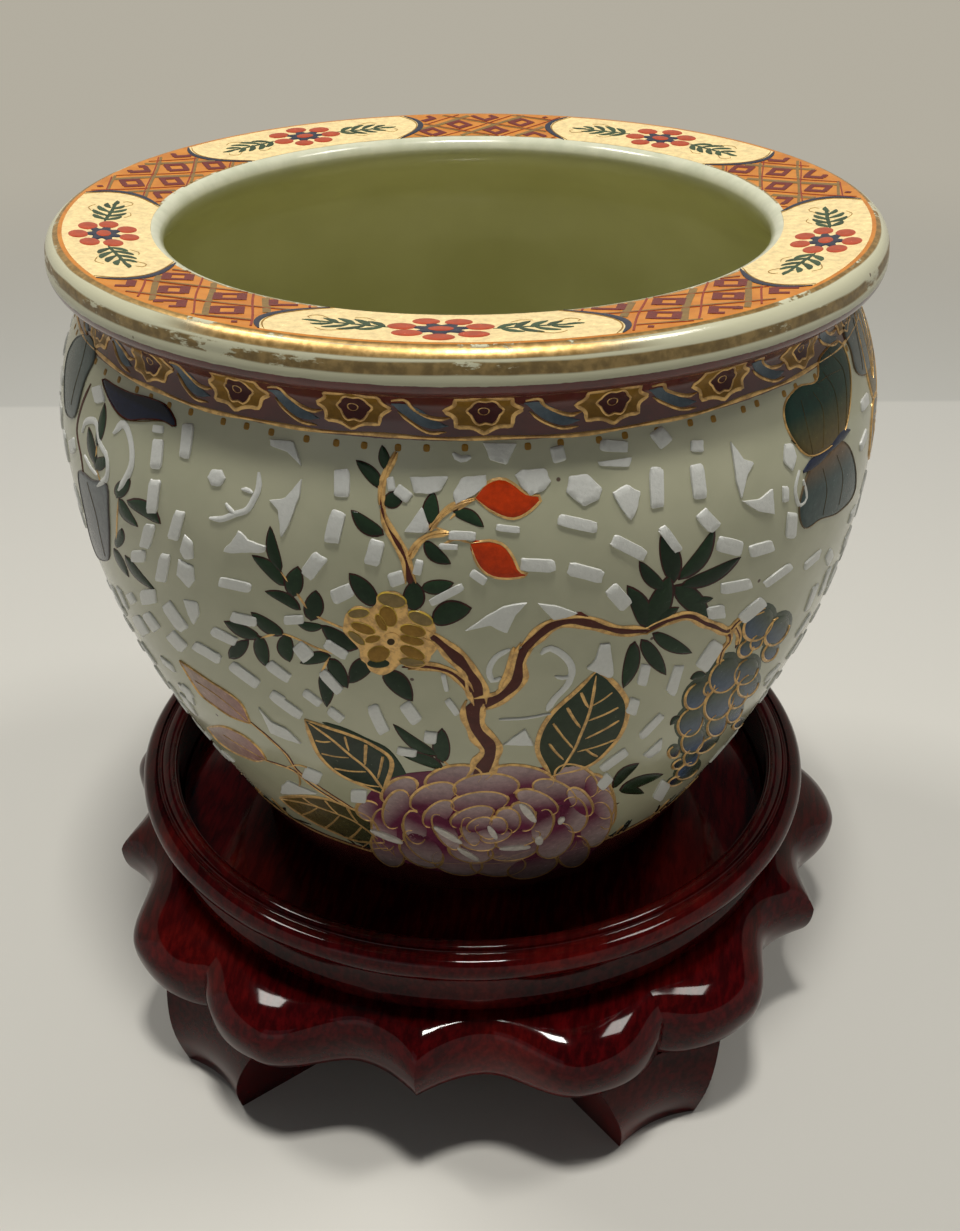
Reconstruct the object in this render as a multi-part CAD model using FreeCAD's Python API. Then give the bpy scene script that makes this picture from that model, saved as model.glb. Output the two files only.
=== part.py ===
import FreeCAD, Part
import math
import os

# A glazed fishbowl jardiniere that stands in the dished tray of a low carved
# and turned wooden stand. Millimetres. The Z axis is the axis of the pot and
# of the stand, +Z is up, the feet stand on z = 0, and one apron tip points
# to the front, along -Y.

os.makedirs("parts", exist_ok=True)

# ---- stand: how many sides, and the levels from the ground up ----
side_count = 5
foot_height = 33.0
apron_height = 25.0
waist_height = 4.5
floor_thickness = 4.8
tray_depth = 17.5

# ---- stand: turned tray ring ----
tray_outer_radius = 123.9
tray_inner_radius = 111.0
tray_wall = 4.5
flange_height = 9.6
bead_width = 5.4
groove_width = 2.6
groove_depth = 1.4
floor_gap = 0.3

# ---- stand: turned waist ring ----
waist_inner_radius = 97.0
waist_cove = 1.5

# ---- stand: carved apron, its outline at the widest level ----
apron_inner_radius = 93.0
tip_radius = 136.6
notch_radius = 127.0
lobe_radius = 141.0
junction_radius = 131.5
notch_angle = 9.5
lobe_angle = 23.0
apron_widest_level = 13.0
lower_round = 9.0
junction_lower_round = 4.5
pillow_fullness = 0.62
junction_power = 2.5

# ---- stand: bracket feet under the apron joints ----
toe_radius = 133.0
toe_half_width = 15.5
toe_hollow = 3.0
foot_belly_out = 3.2
foot_neck_in = 1.5
foot_flare = 9.5
foot_flare_power = 1.6
foot_inner_radius = 101.0
foot_inner_spread = 5.0
foot_lean_in = 4.0

# ---- stand: hidden joinery ----
spline_length = 22.0
spline_width = 18.0
spline_thickness = 4.0
spline_radius = 112.0
dowel_radius = 4.0
dowel_depth = 9.0
dowel_offset = 12.0
dowel_circle = 115.0
peg_radius = 3.0
peg_depth = 9.0
peg_circle = 104.0
peg_angle = 18.0

# ---- pot: heights above the tray floor, and radii ----
pot_height = 217.7
foot_ring_radius = 70.5
foot_ring_width = 8.0
foot_ring_height = 4.0
base_recess = 5.0
body_start_radius = 78.6
body_start_height = 7.0
body_start_slope = 29.0
body_start_pull = 60.0
belly_radius = 130.2
belly_height = 156.1
belly_pull = 56.0
shoulder_radius = 120.4
shoulder_height = 193.1
neck_radius = 117.6
neck_height = 199.0
lip_under_radius = 121.2
lip_under_height = 204.2
lip_radius = 127.0
lip_height = 211.8
lip_under_bulge = 1.6
lip_top_in = 0.32
lip_top_up = 0.72
rim_flat_radius = 122.6
mouth_radius = 92.8
mouth_round = 4.2
rim_dish = 2.3
rim_thickness = 11.0
pot_wall = 7.0
inner_start_rise = 0.6
base_thickness = 9.0

# ---- levels that follow ----
apron_bottom = foot_height
apron_top = apron_bottom + apron_height
waist_top = apron_top + waist_height
floor_top = waist_top + floor_thickness
tray_top = floor_top + tray_depth
waist_radius = tray_inner_radius + tray_wall
side_angle = 360.0 / side_count
half_side = side_angle / 2.0
front_angle = -90.0


def point(radius, height, angle=0.0):
    """A point at a radius, a height and an angle in degrees round the axis."""
    turn = math.radians(angle)
    return FreeCAD.Vector(radius * math.cos(turn), radius * math.sin(turn), height)


def line(start, end):
    return Part.makeLine(start, end)


def arc(start, through, end):
    return Part.Arc(start, through, end).toShape()


def curve(*poles):
    """A Bezier curve on its poles."""
    bezier = Part.BezierCurve()
    bezier.setPoles(list(poles))
    return bezier.toShape()


def turned(edges):
    """A solid turned round the Z axis from a closed section."""
    section = Part.Face(Part.Wire(edges))
    return section.revolve(FreeCAD.Vector(0, 0, 0), FreeCAD.Vector(0, 0, 1), 360)


def around(shape, angle):
    """A copy of a shape turned round the Z axis by an angle in degrees."""
    copy = shape.copy()
    copy.rotate(FreeCAD.Vector(0, 0, 0), FreeCAD.Vector(0, 0, 1), angle)
    return copy


def save(name, shape):
    shape.exportStep("parts/" + name + ".step")
    count = len(shape.Solids)
    print(name, "solids", count, "valid", shape.isValid(), "cm3", round(shape.Volume / 1000.0, 2))


# ---- tray: a turned ring with a rounded edge, a groove and an inner bead ----
def make_tray_rim():
    bead_end = tray_inner_radius + bead_width
    groove_end = bead_end + groove_width
    flange_bottom = tray_top - flange_height
    edge_middle = tray_top - flange_height / 2.0
    groove_top = tray_top - groove_depth / 2.0
    cove_radius = waist_radius + waist_cove
    cove_height = (flange_bottom + waist_top) / 2.0
    inner_bottom = point(tray_inner_radius, waist_top)
    inner_top = point(tray_inner_radius, tray_top - bead_width / 2.0)
    bead_top = point(tray_inner_radius + bead_width / 2.0, tray_top)
    groove_in = point(bead_end, groove_top)
    groove_low = point(bead_end + groove_width / 2.0, groove_top - groove_depth)
    groove_out = point(groove_end, groove_top)
    edge_out = point(tray_outer_radius, edge_middle)
    flange_under = point(groove_end, flange_bottom)
    cove_top = point(cove_radius, flange_bottom)
    cove_in = point(waist_radius, cove_height)
    outer_bottom = point(cove_radius, waist_top)
    return turned([
        line(inner_bottom, inner_top),
        arc(inner_top, bead_top, groove_in),
        arc(groove_in, groove_low, groove_out),
        arc(groove_out, edge_out, flange_under),
        line(flange_under, cove_top),
        arc(cove_top, cove_in, outer_bottom),
        line(outer_bottom, inner_bottom),
    ])


# ---- tray floor: a round panel inside the ring, on the waist ring ----
def make_tray_floor():
    return Part.makeCylinder(
        tray_inner_radius - floor_gap, floor_thickness, point(0, waist_top))


# ---- waist: a flat turned ring between the apron and the tray ----
def make_waist_ring():
    outer = waist_radius + waist_cove
    return turned([
        line(point(waist_inner_radius, apron_top), point(outer, apron_top)),
        line(point(outer, apron_top), point(outer, waist_top)),
        line(point(outer, waist_top), point(waist_inner_radius, waist_top)),
        line(point(waist_inner_radius, waist_top), point(waist_inner_radius, apron_top)),
    ])


# ---- apron: one carved segment to each side of the stand ----
def apron_outline(offset):
    """Widest radius at an angle from the tip: a point that sweeps in to a
    notch, swells in a half wave to the lobe and rounds off to the junction."""
    if offset <= notch_angle:
        share = 1.0 - offset / notch_angle
        return notch_radius + (tip_radius - notch_radius) * share ** 2
    if offset <= lobe_angle:
        share = (offset - notch_angle) / (lobe_angle - notch_angle)
        swell = (1.0 - math.cos(math.pi * share)) / 2.0
        return notch_radius + (lobe_radius - notch_radius) * swell
    share = (offset - lobe_angle) / (half_side - lobe_angle)
    return lobe_radius - (lobe_radius - junction_radius) * share ** junction_power


def apron_section(offset):
    """The closed section of the apron at an angle from its tip."""
    widest = apron_outline(offset)
    share = max(0.0, (offset - lobe_angle) / (half_side - lobe_angle))
    rounding = lower_round + (junction_lower_round - lower_round) * share
    level = apron_bottom + apron_widest_level
    shoulder = waist_radius + waist_cove
    reach = widest - shoulder
    full = pillow_fullness

    def at(radius, height):
        return point(radius, height, offset)

    return Part.Wire([
        line(at(apron_inner_radius, apron_bottom), at(widest - rounding, apron_bottom)),
        curve(at(widest - rounding, apron_bottom), at(widest - rounding * (1 - full), apron_bottom),
              at(widest, level - apron_widest_level * full), at(widest, level)),
        curve(at(widest, level), at(widest, level + (apron_top - level) * full),
              at(shoulder + reach * (1 - full), apron_top), at(shoulder, apron_top)),
        line(at(shoulder, apron_top), at(apron_inner_radius, apron_top)),
        line(at(apron_inner_radius, apron_top), at(apron_inner_radius, apron_bottom)),
    ])


def make_apron_half():
    """Half a segment, lofted from its tip to the junction with its neighbour."""
    notch_step = notch_angle / 3.0
    lobe_step = (lobe_angle - notch_angle) / 4.0
    end_step = (half_side - lobe_angle) / 3.0
    offsets = [notch_step * i for i in range(3)]
    offsets += [notch_angle + lobe_step * i for i in range(4)]
    offsets += [lobe_angle + end_step * i for i in range(4)]
    return Part.makeLoft([apron_section(offset) for offset in offsets], True, False)


def make_apron_segment():
    half = make_apron_half()
    other = half.mirror(FreeCAD.Vector(0, 0, 0), FreeCAD.Vector(0, 1, 0))
    return half.fuse(other)


# ---- feet: scooped brackets, narrow at the toe and flared under the apron ----
def foot_section(height):
    """The outline of a foot at a height: a hollow front, two scooped sides
    that spread inwards, and a straight back."""
    share = height / foot_height
    belly = foot_belly_out * math.sin(math.pi * min(share, 1.0))
    corner = toe_radius + belly - foot_neck_in * share ** 3
    middle = corner - toe_hollow * (1.0 - share / 3.0)
    half = toe_half_width + foot_flare * share ** foot_flare_power
    back = foot_inner_radius - foot_lean_in * share
    back_half = toe_half_width + foot_inner_spread + (foot_flare - foot_inner_spread / 2.0) * share
    left = FreeCAD.Vector(corner, -half, height)
    centre = FreeCAD.Vector(middle, 0, height)
    right = FreeCAD.Vector(corner, half, height)
    back_right = FreeCAD.Vector(back, back_half, height)
    back_left = FreeCAD.Vector(back, -back_half, height)
    return Part.Wire([
        arc(left, centre, right),
        line(right, back_right),
        line(back_right, back_left),
        line(back_left, left),
    ])


def make_foot():
    steps = 4
    heights = [foot_height * step / steps for step in range(steps + 1)]
    return Part.makeLoft([foot_section(height) for height in heights], True, False)


# ---- hidden joinery: splines across the joints, dowels in the feet, waist pegs ----
def make_spline():
    corner = FreeCAD.Vector(
        spline_radius - spline_width / 2.0,
        -spline_length / 2.0,
        apron_bottom + (apron_height - spline_thickness) / 2.0)
    return Part.makeBox(spline_width, spline_length, spline_thickness, corner)


def make_foot_dowels():
    dowels = []
    for side in (-1, 1):
        base = FreeCAD.Vector(dowel_circle, side * dowel_offset, foot_height - dowel_depth)
        dowels.append(Part.makeCylinder(dowel_radius, 2 * dowel_depth, base))
    return dowels


def make_waist_pegs():
    pegs = []
    for side in (-1, 1):
        base = point(peg_circle, apron_top - peg_depth, side * peg_angle)
        pegs.append(Part.makeCylinder(peg_radius, peg_depth + waist_height, base))
    return pegs


# ---- pot: one thrown and glazed piece, hollow, with a turned foot ring ----
def pot_point(radius, height):
    return point(radius, floor_top + height)


def make_pot():
    slope = math.radians(body_start_slope)
    start_dir_out = math.sin(slope)
    start_dir_up = math.cos(slope)
    shoulder_drop = belly_radius - shoulder_radius
    shoulder_rise = shoulder_height - belly_height
    shoulder_arc = (shoulder_drop ** 2 + shoulder_rise ** 2) / (2.0 * shoulder_drop)
    half_turn = math.asin(shoulder_rise / shoulder_arc) / 2.0

    def body(wall):
        """The flank, the belly and the shoulder, moved inwards by a wall."""
        start = pot_point(body_start_radius - wall, body_start_height + wall * inner_start_rise)
        start_out = pot_point(
            body_start_radius - wall + body_start_pull * start_dir_out,
            body_start_height + wall * inner_start_rise + body_start_pull * start_dir_up)
        belly_low = pot_point(belly_radius - wall, belly_height - belly_pull)
        belly = pot_point(belly_radius - wall, belly_height)
        radius = shoulder_arc - wall
        middle = pot_point(
            belly_radius - shoulder_arc + radius * math.cos(half_turn),
            belly_height + radius * math.sin(half_turn))
        end = pot_point(
            belly_radius - shoulder_arc + radius * math.cos(2 * half_turn),
            belly_height + radius * math.sin(2 * half_turn))
        return start, end, [curve(start, start_out, belly_low, belly), arc(belly, middle, end)]

    outer_start, outer_end, outer_body = body(0.0)
    inner_start, inner_end, inner_body = body(pot_wall)
    ring_in = foot_ring_radius - foot_ring_width
    base_axis = pot_point(0, base_recess)
    base_edge = pot_point(ring_in, base_recess)
    ring_low_in = pot_point(ring_in, 0)
    ring_low_out = pot_point(foot_ring_radius, 0)
    ring_top_out = pot_point(foot_ring_radius, foot_ring_height)
    neck = pot_point(neck_radius, neck_height)
    lip_under = pot_point(lip_under_radius, lip_under_height)
    lip_turn = pot_point(
        (lip_under_radius + lip_radius) / 2.0 + lip_under_bulge,
        lip_under_height + lip_under_bulge)
    lip_out = pot_point(lip_radius, lip_height)
    lip_top = pot_point(
        lip_radius - (lip_radius - rim_flat_radius) * lip_top_in,
        lip_height + (pot_height - lip_height) * lip_top_up)
    flat_out = pot_point(rim_flat_radius, pot_height)
    mouth_level = pot_height - rim_dish
    diagonal = mouth_round * (1.0 - math.sqrt(0.5))
    flat_in = pot_point(mouth_radius + mouth_round, mouth_level)
    mouth_turn = pot_point(mouth_radius + diagonal, mouth_level - diagonal)
    mouth_in = pot_point(mouth_radius, mouth_level - mouth_round)
    rim_under = pot_point(mouth_radius, mouth_level - rim_thickness)
    throat = pot_point(
        (mouth_radius + neck_radius) / 2.0, mouth_level - rim_thickness - mouth_round)
    floor_height = base_recess + base_thickness
    inside_edge = pot_point(body_start_radius - pot_wall - base_thickness, floor_height)
    inside_turn = pot_point(
        body_start_radius - pot_wall - base_thickness / 4.0, floor_height + base_thickness / 8.0)
    inside_axis = pot_point(0, floor_height)
    edges = [
        line(base_axis, base_edge),
        line(base_edge, ring_low_in),
        line(ring_low_in, ring_low_out),
        line(ring_low_out, ring_top_out),
        line(ring_top_out, outer_start),
    ]
    edges += outer_body
    edges += [
        curve(outer_end, neck, neck, lip_under),
        arc(lip_under, lip_turn, lip_out),
        arc(lip_out, lip_top, flat_out),
        line(flat_out, flat_in),
        arc(flat_in, mouth_turn, mouth_in),
        curve(mouth_in, rim_under, throat, inner_end),
    ]
    edges += reversed(inner_body)
    edges += [
        curve(inner_start, inside_turn, inside_edge),
        line(inside_edge, inside_axis),
        line(inside_axis, base_axis),
    ]
    return turned(edges)


tray_rim = make_tray_rim()
tray_floor = make_tray_floor()
waist_ring = make_waist_ring()
segment = make_apron_segment()
foot = make_foot()
splines = []
dowels = []
pegs = []
for side in range(side_count):
    tip = front_angle + side * side_angle
    junction = tip + half_side
    splines.append(around(make_spline(), junction))
    dowels += [around(dowel, junction) for dowel in make_foot_dowels()]
    pegs += [around(peg, tip) for peg in make_waist_pegs()]
splines = Part.makeCompound(splines)
dowels = Part.makeCompound(dowels)
pegs = Part.makeCompound(pegs)

save("tray_rim", tray_rim)
save("tray_floor", tray_floor)
save("waist_ring", waist_ring.cut(pegs))
for side in range(side_count):
    tip = front_angle + side * side_angle
    number = str(side + 1)
    save("apron_segment_" + number, around(segment, tip).cut(splines).cut(dowels).cut(pegs))
    save("foot_" + number, around(foot, tip + half_side).cut(dowels))
save("apron_splines", splines)
save("foot_dowels", dowels)
save("waist_pegs", pegs)
save("jardiniere_pot", make_pot())
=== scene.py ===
import math

import bpy
import numpy as np
from mathutils import Matrix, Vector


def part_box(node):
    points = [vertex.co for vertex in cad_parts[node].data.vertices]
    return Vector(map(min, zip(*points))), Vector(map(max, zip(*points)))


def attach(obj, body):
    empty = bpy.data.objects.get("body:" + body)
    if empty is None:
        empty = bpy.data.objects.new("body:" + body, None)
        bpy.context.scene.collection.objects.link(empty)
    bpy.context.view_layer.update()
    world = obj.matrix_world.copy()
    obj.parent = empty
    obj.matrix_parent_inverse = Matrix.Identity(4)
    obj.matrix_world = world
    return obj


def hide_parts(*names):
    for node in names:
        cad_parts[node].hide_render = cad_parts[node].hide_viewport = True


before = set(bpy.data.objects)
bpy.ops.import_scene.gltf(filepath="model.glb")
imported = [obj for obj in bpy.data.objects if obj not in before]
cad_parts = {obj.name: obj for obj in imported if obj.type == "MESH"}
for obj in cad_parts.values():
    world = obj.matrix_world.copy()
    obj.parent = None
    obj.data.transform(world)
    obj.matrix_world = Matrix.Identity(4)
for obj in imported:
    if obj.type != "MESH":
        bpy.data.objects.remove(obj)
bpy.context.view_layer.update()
dice = np.random.default_rng(11)
mm = 0.001

# Lengths are millimetres and angles degrees until a mesh is made, in metres.
# Places on the pot are charts: (angle round the axis in radians, length along its outline).


shot = {
    "photoWidth": 960, "photoHeight": 1231, "lens": 41.28, "sensor": 36.0,
    "azimuth": 7.8, "pitch": 31.559, "roll": 0.36,
    "back": 437.7, "side": 3.12, "height": 403.9,
}
turn, tilt, roll = (math.radians(shot[key]) for key in ("azimuth", "pitch", "roll"))
level = np.array([-math.sin(turn), math.cos(turn), 0.0])
across = np.array([math.cos(turn), math.sin(turn), 0.0])
eye = -shot["back"] * level + shot["side"] * across + np.array([0, 0, shot["height"]])
ahead = level * math.cos(tilt) - np.array([0, 0, math.sin(tilt)])
over = np.cross(across, ahead)
lensRight = across * math.cos(roll) - over * math.sin(roll)
lensUp = over * math.cos(roll) + across * math.sin(roll)
focus = shot["lens"] / shot["sensor"] * shot["photoHeight"]


def makeCamera():
    data = bpy.data.cameras.new("camera")
    data.sensor_fit = "VERTICAL"
    data.sensor_height = shot["sensor"]
    data.lens = shot["lens"]
    data.clip_end = 50
    camera = bpy.data.objects.new("camera", data)
    bpy.context.scene.collection.objects.link(camera)
    axes = np.stack([lensRight, lensUp, -ahead], 1)
    camera.matrix_world = Matrix.Translation(eye * mm) @ Matrix(axes.tolist()).to_4x4()
    bpy.context.scene.camera = camera


room = {
    "floorColour": (0.68, 0.67, 0.63), "wallColour": (0.60, 0.60, 0.57),
    "greyFrom": 512, "greyHalf": 3, "wallRadius": 2.9, "wallBend": 0.7, "wallHeight": 2.2, "turns": 96,
    "floorShown": (0.60, 0.59, 0.54), "wallShown": (0.45, 0.42, 0.35), "fadeOut": (420, 1300),
    "worldColour": (0.86, 0.93, 1.0), "worldStrength": 0.06,
    "lamps": [
        # name, place, aim, width, height, power, colour
        ("overhead", (0.06, -0.24, 1.60), (0, 0, 0.1), 0.22, 0.17, 13.5, (1.0, 0.97, 0.91)),
        ("overheadRight", (0.70, 0.10, 1.50), (0, 0, 0.1), 0.30, 0.26, 5.5, (1.0, 0.97, 0.91)),
        ("overheadLeft", (-0.70, 0.16, 1.50), (0, 0, 0.1), 0.30, 0.26, 7.0, (1.0, 0.97, 0.91)),
        ("window", (-0.5, -1.35, 1.05), (0, 0, 0.2), 0.9, 0.7, 0.6, (0.86, 0.93, 1.0)),
    ],
}


def makeLights():
    world = bpy.data.worlds.new("world")
    bpy.context.scene.world = world
    world.use_nodes = True
    background = world.node_tree.nodes["Background"]
    background.inputs["Color"].default_value = (*room["worldColour"], 1)
    background.inputs["Strength"].default_value = room["worldStrength"]
    for name, place, aim, width, height, power, colour in room["lamps"]:
        data = bpy.data.lights.new(name, "AREA")
        data.shape = "RECTANGLE"
        data.size = width
        data.size_y = height
        data.energy = power
        data.color = colour
        lamp = bpy.data.objects.new(name, data)
        bpy.context.scene.collection.objects.link(lamp)
        back = np.array(place, float) - np.array(aim, float)
        back /= np.linalg.norm(back)
        right = np.cross([0, 0, 1.0], back)
        right /= np.linalg.norm(right)
        axes = np.stack([right, np.cross(back, right), back], 1)
        lamp.matrix_world = Matrix.Translation(place) @ Matrix(axes.tolist()).to_4x4()


class Wire:
    # A shader socket used in arithmetic: each operator adds the Math node of its name.
    def __init__(self, finish, socket):
        self.finish = finish
        self.socket = socket

    def maths(self, operation, first, second=None):
        return self.finish.node("ShaderNodeMath", {"operation": operation}, [first, second])

    def __add__(self, other):
        return self.maths("ADD", self, other)

    def __radd__(self, other):
        return self.maths("ADD", other, self)

    def __sub__(self, other):
        return self.maths("SUBTRACT", self, other)

    def __rsub__(self, other):
        return self.maths("SUBTRACT", other, self)

    def __mul__(self, other):
        return self.maths("MULTIPLY", self, other)

    def __rmul__(self, other):
        return self.maths("MULTIPLY", other, self)


class Finish:
    # One node material, with the few kinds of node that the finishes here are made of.
    def __init__(self, name, **values):
        self.material = bpy.data.materials.new(name)
        self.material.use_nodes = True
        self.tree = self.material.node_tree
        self.shader = self.tree.nodes["Principled BSDF"]
        for key, value in values.items():
            self.shader.inputs[key.replace("_", " ")].default_value = value
        coordinates = self.node("ShaderNodeTexCoord", output="Object")
        self.place = self.node(
            "ShaderNodeVectorMath", {"operation": "SCALE"}, {0: coordinates, "Scale": 1 / mm})
        self.x, self.y, self.z = (
            self.node("ShaderNodeSeparateXYZ", {}, [self.place], axis) for axis in range(3))

    def node(self, kind, settings=None, inputs=(), output=0):
        made = self.tree.nodes.new(kind)
        for key, value in (settings or {}).items():
            setattr(made, key, value)
        pairs = inputs.items() if isinstance(inputs, dict) else enumerate(inputs)
        for key, value in pairs:
            if isinstance(value, Wire):
                self.tree.links.new(value.socket, made.inputs[key])
            elif value is not None:
                made.inputs[key].default_value = value
        return Wire(self, made.outputs[output])

    def radius(self):
        return self.x.maths("SQRT", self.x * self.x + self.y * self.y)

    def noise(self, size, detail=3.0, roughness=0.55, stretch=(1, 1, 1)):
        # Smooth noise around 0.5 with features of a size in millimetres.
        place = self.node("ShaderNodeMapping", {}, {"Vector": self.place, "Scale": stretch})
        return self.node("ShaderNodeTexNoise", {}, {
            "Vector": place, "Scale": 1 / size, "Detail": detail, "Roughness": roughness})

    def rise(self, value, low, high):
        # 0 below low, 1 above high and a smooth step between.
        return self.node("ShaderNodeMapRange", {"interpolation_type": "SMOOTHSTEP"}, {
            "Value": value, "From Min": low, "From Max": high})

    def band(self, value, low, high, soft):
        return self.rise(value, low - soft, low + soft) * (1 - self.rise(value, high - soft, high + soft))

    def mix(self, share, first, second, blend="MIX"):
        first, second = (
            colour if isinstance(colour, Wire) else (*colour, 1) for colour in (first, second))
        settings = {"data_type": "RGBA", "blend_type": blend}
        return self.node("ShaderNodeMix", settings, {0: share, 6: first, 7: second}, 2)

    def specks(self, size, reach):
        # Round specks in some cells: 1 inside reach of a cell's centre, 0 outside.
        gap = self.node("ShaderNodeTexVoronoi", {}, {"Vector": self.place, "Scale": 1 / size}, "Distance")
        return 1 - self.rise(gap, reach * 0.6, reach)

    def put(self, **wires):
        for key, wire in wires.items():
            self.tree.links.new(wire.socket, self.shader.inputs[key.replace("_", " ")])

    def bump(self, height, distance, strength=1.0):
        normal = self.node("ShaderNodeBump", {}, {
            "Height": height, "Distance": distance * mm, "Strength": strength})
        self.put(Normal=normal)


class Mould:
    # Gathers closed blocks of points and faces for one mesh, each with a tone and a finish.
    def __init__(self, name, finishes, body="pot", slot="pot_glaze"):
        self.name, self.body, self.slot, self.finishes = name, body, slot, finishes
        self.points, self.tones, self.corners, self.sizes, self.picks = [], [], [], [], []
        self.count = 0

    def add(self, points, faces, tone=(1, 1, 1), finish=0):
        points = points.reshape(-1, 3)
        self.points.append(points)
        self.tones.append(np.broadcast_to(tone, (len(points), 3)))
        for block, pick in zip(faces, np.broadcast_to(finish, len(faces))):
            self.corners.append((block + self.count).ravel())
            self.sizes.append(np.full(len(block), block.shape[1]))
            self.picks.append(np.full(len(block), pick))
        self.count += len(points)

    def make(self, sharp=50, *replaced):
        points = np.concatenate(self.points) * mm
        corners = np.concatenate(self.corners)
        sizes = np.concatenate(self.sizes)
        mesh = bpy.data.meshes.new(self.name)
        mesh.vertices.add(len(points))
        mesh.vertices.foreach_set("co", points.astype(np.float32).ravel())
        mesh.loops.add(len(corners))
        mesh.loops.foreach_set("vertex_index", corners.astype(np.int32))
        mesh.polygons.add(len(sizes))
        mesh.polygons.foreach_set("loop_start", (np.cumsum(sizes) - sizes).astype(np.int32))
        mesh.polygons.foreach_set("material_index", np.concatenate(self.picks).astype(np.int32))
        mesh.update(calc_edges=True)
        tones = np.concatenate(self.tones)
        tones = np.concatenate([tones, np.ones((len(tones), 1))], 1)
        attribute = mesh.attributes.new("tone", "FLOAT_COLOR", "POINT")
        attribute.data.foreach_set("color", tones.astype(np.float32).ravel())
        for finish in self.finishes:
            mesh.materials.append(finish.material)
        mesh.shade_smooth()
        mesh.set_sharp_from_angle(angle=math.radians(sharp))
        piece = bpy.data.objects.new(self.name, mesh)
        bpy.context.scene.collection.objects.link(piece)
        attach(piece, self.body)
        if replaced:
            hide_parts(*replaced)


def gridFaces(rows, columns, closeRows=False, closeColumns=False):
    # Quads of a grid numbered row by row: each joins a point to the next in its row and column.
    index = np.arange(rows * columns).reshape(rows, columns)
    if closeRows:
        index = np.concatenate([index, index[:1]])
    if closeColumns:
        index = np.concatenate([index, index[:, :1]], 1)
    return np.stack([index[:-1, :-1], index[:-1, 1:], index[1:, 1:], index[1:, :-1]], -1).reshape(-1, 4)


def fanFaces(hub, ring, flip=False):
    # Triangles from one point to each edge of a closed ring of points.
    after = np.roll(ring, -1)
    first, second = (after, ring) if flip else (ring, after)
    return np.stack([np.full(len(ring), hub), first, second], -1)


def hubFaces(rows, count, flip=True):
    # Fans from the first and the last ring of a grid to two points numbered after it.
    total = rows * count
    return [fanFaces(total, np.arange(count), flip),
            fanFaces(total + 1, np.arange(total - count, total), not flip)]


def bezier(poles, count):
    # Neighbouring poles are blended by the share along the curve until one point is left.
    share = np.linspace(0, 1, count)[:, None]
    rows = [np.array(pole, float) + 0 * share for pole in poles]
    while len(rows) > 1:
        rows = [first + (second - first) * share for first, second in zip(rows, rows[1:])]
    return rows[0]


def arc(start, through, end, count):
    # The circle through three points, walked from the first to the last at a steady rate.
    (ax, ay), (bx, by), (cx, cy) = start, through, end
    area = 2 * (ax * (by - cy) + bx * (cy - ay) + cx * (ay - by))
    a, b, c = ax * ax + ay * ay, bx * bx + by * by, cx * cx + cy * cy
    middle = np.array([
        (a * (by - cy) + b * (cy - ay) + c * (ay - by)) / area,
        (a * (cx - bx) + b * (ax - cx) + c * (bx - ax)) / area])
    angles = [math.atan2(y - middle[1], x - middle[0]) for x, y in (start, through, end)]
    angles = np.unwrap(angles)
    swing = np.linspace(angles[0], angles[2], count)
    radius = math.dist(start, middle)
    return middle + radius * np.stack([np.cos(swing), np.sin(swing)], 1)


def lengths(path):
    # Length walked along a path at each of its points.
    return np.concatenate([[0], np.cumsum(np.hypot(*np.diff(path, axis=0).T))])


def respaced(path, step):
    # The same path with points a steady step apart.
    walked = lengths(path)
    stops = np.linspace(0, walked[-1], max(2, int(math.ceil(walked[-1] / step)) + 1))
    return np.stack([np.interp(stops, walked, path[:, axis]) for axis in range(2)], 1)


def turnedPoints(profile, count):
    # Each (radius, height) of a profile carried round the axis.
    swing = np.linspace(0, 2 * np.pi, count, endpoint=False)
    radius, height = profile[:, :1], profile[:, 1:]
    return np.stack([radius * np.cos(swing), radius * np.sin(swing), height + 0 * swing], -1)


potBox = [np.array(corner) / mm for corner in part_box("jardiniere_pot")]
pot = {
    "bottom": potBox[0][2], "height": potBox[1][2] - potBox[0][2], "turns": 288,
    "ringOut": 70.5, "ringIn": 62.5, "ringHeight": 4.0, "recess": 5.0,
    "startRadius": 78.6, "startHeight": 7.0, "startSlope": 29.0, "startPull": 60.0,
    "bellyRadius": 130.2, "bellyHeight": 156.1, "bellyPull": 56.0,
    "shoulderRadius": 120.4, "shoulderHeight": 193.1, "neckRadius": 117.6, "neckHeight": 199.0,
    "lipUnder": (121.2, 204.2), "lipTurn": (125.7, 205.8), "lipOut": (127.0, 211.8),
    "lipTop": (125.59, 216.05), "flatOut": 122.6, "mouth": 92.8, "mouthRound": 4.2,
    "dish": 2.3, "rimThickness": 11.0, "wall": 7.0, "base": 9.0, "sharp": 40,
}


def bodyCurve(wall):
    # Flank: a curve from the foot to the belly. Shoulder: a circle that stands upright at the
    # belly. Both are moved inwards by the wall.
    slope = math.radians(pot["startSlope"])
    rise = pot["shoulderHeight"] - pot["bellyHeight"]
    drop = pot["bellyRadius"] - pot["shoulderRadius"]
    radius = (drop ** 2 + rise ** 2) / (2 * drop)
    start = np.array([pot["startRadius"] - wall, pot["startHeight"] + 0.6 * wall])
    out = start + pot["startPull"] * np.array([math.sin(slope), math.cos(slope)])
    belly = np.array([pot["bellyRadius"] - wall, pot["bellyHeight"]])
    swing = np.linspace(0, math.asin(rise / radius), 40)[1:]
    shoulder = np.stack([
        pot["bellyRadius"] - radius + (radius - wall) * np.cos(swing),
        pot["bellyHeight"] + (radius - wall) * np.sin(swing)], 1)
    return np.concatenate([bezier([start, out, belly - [0, pot["bellyPull"]], belly], 160), shoulder])


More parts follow.
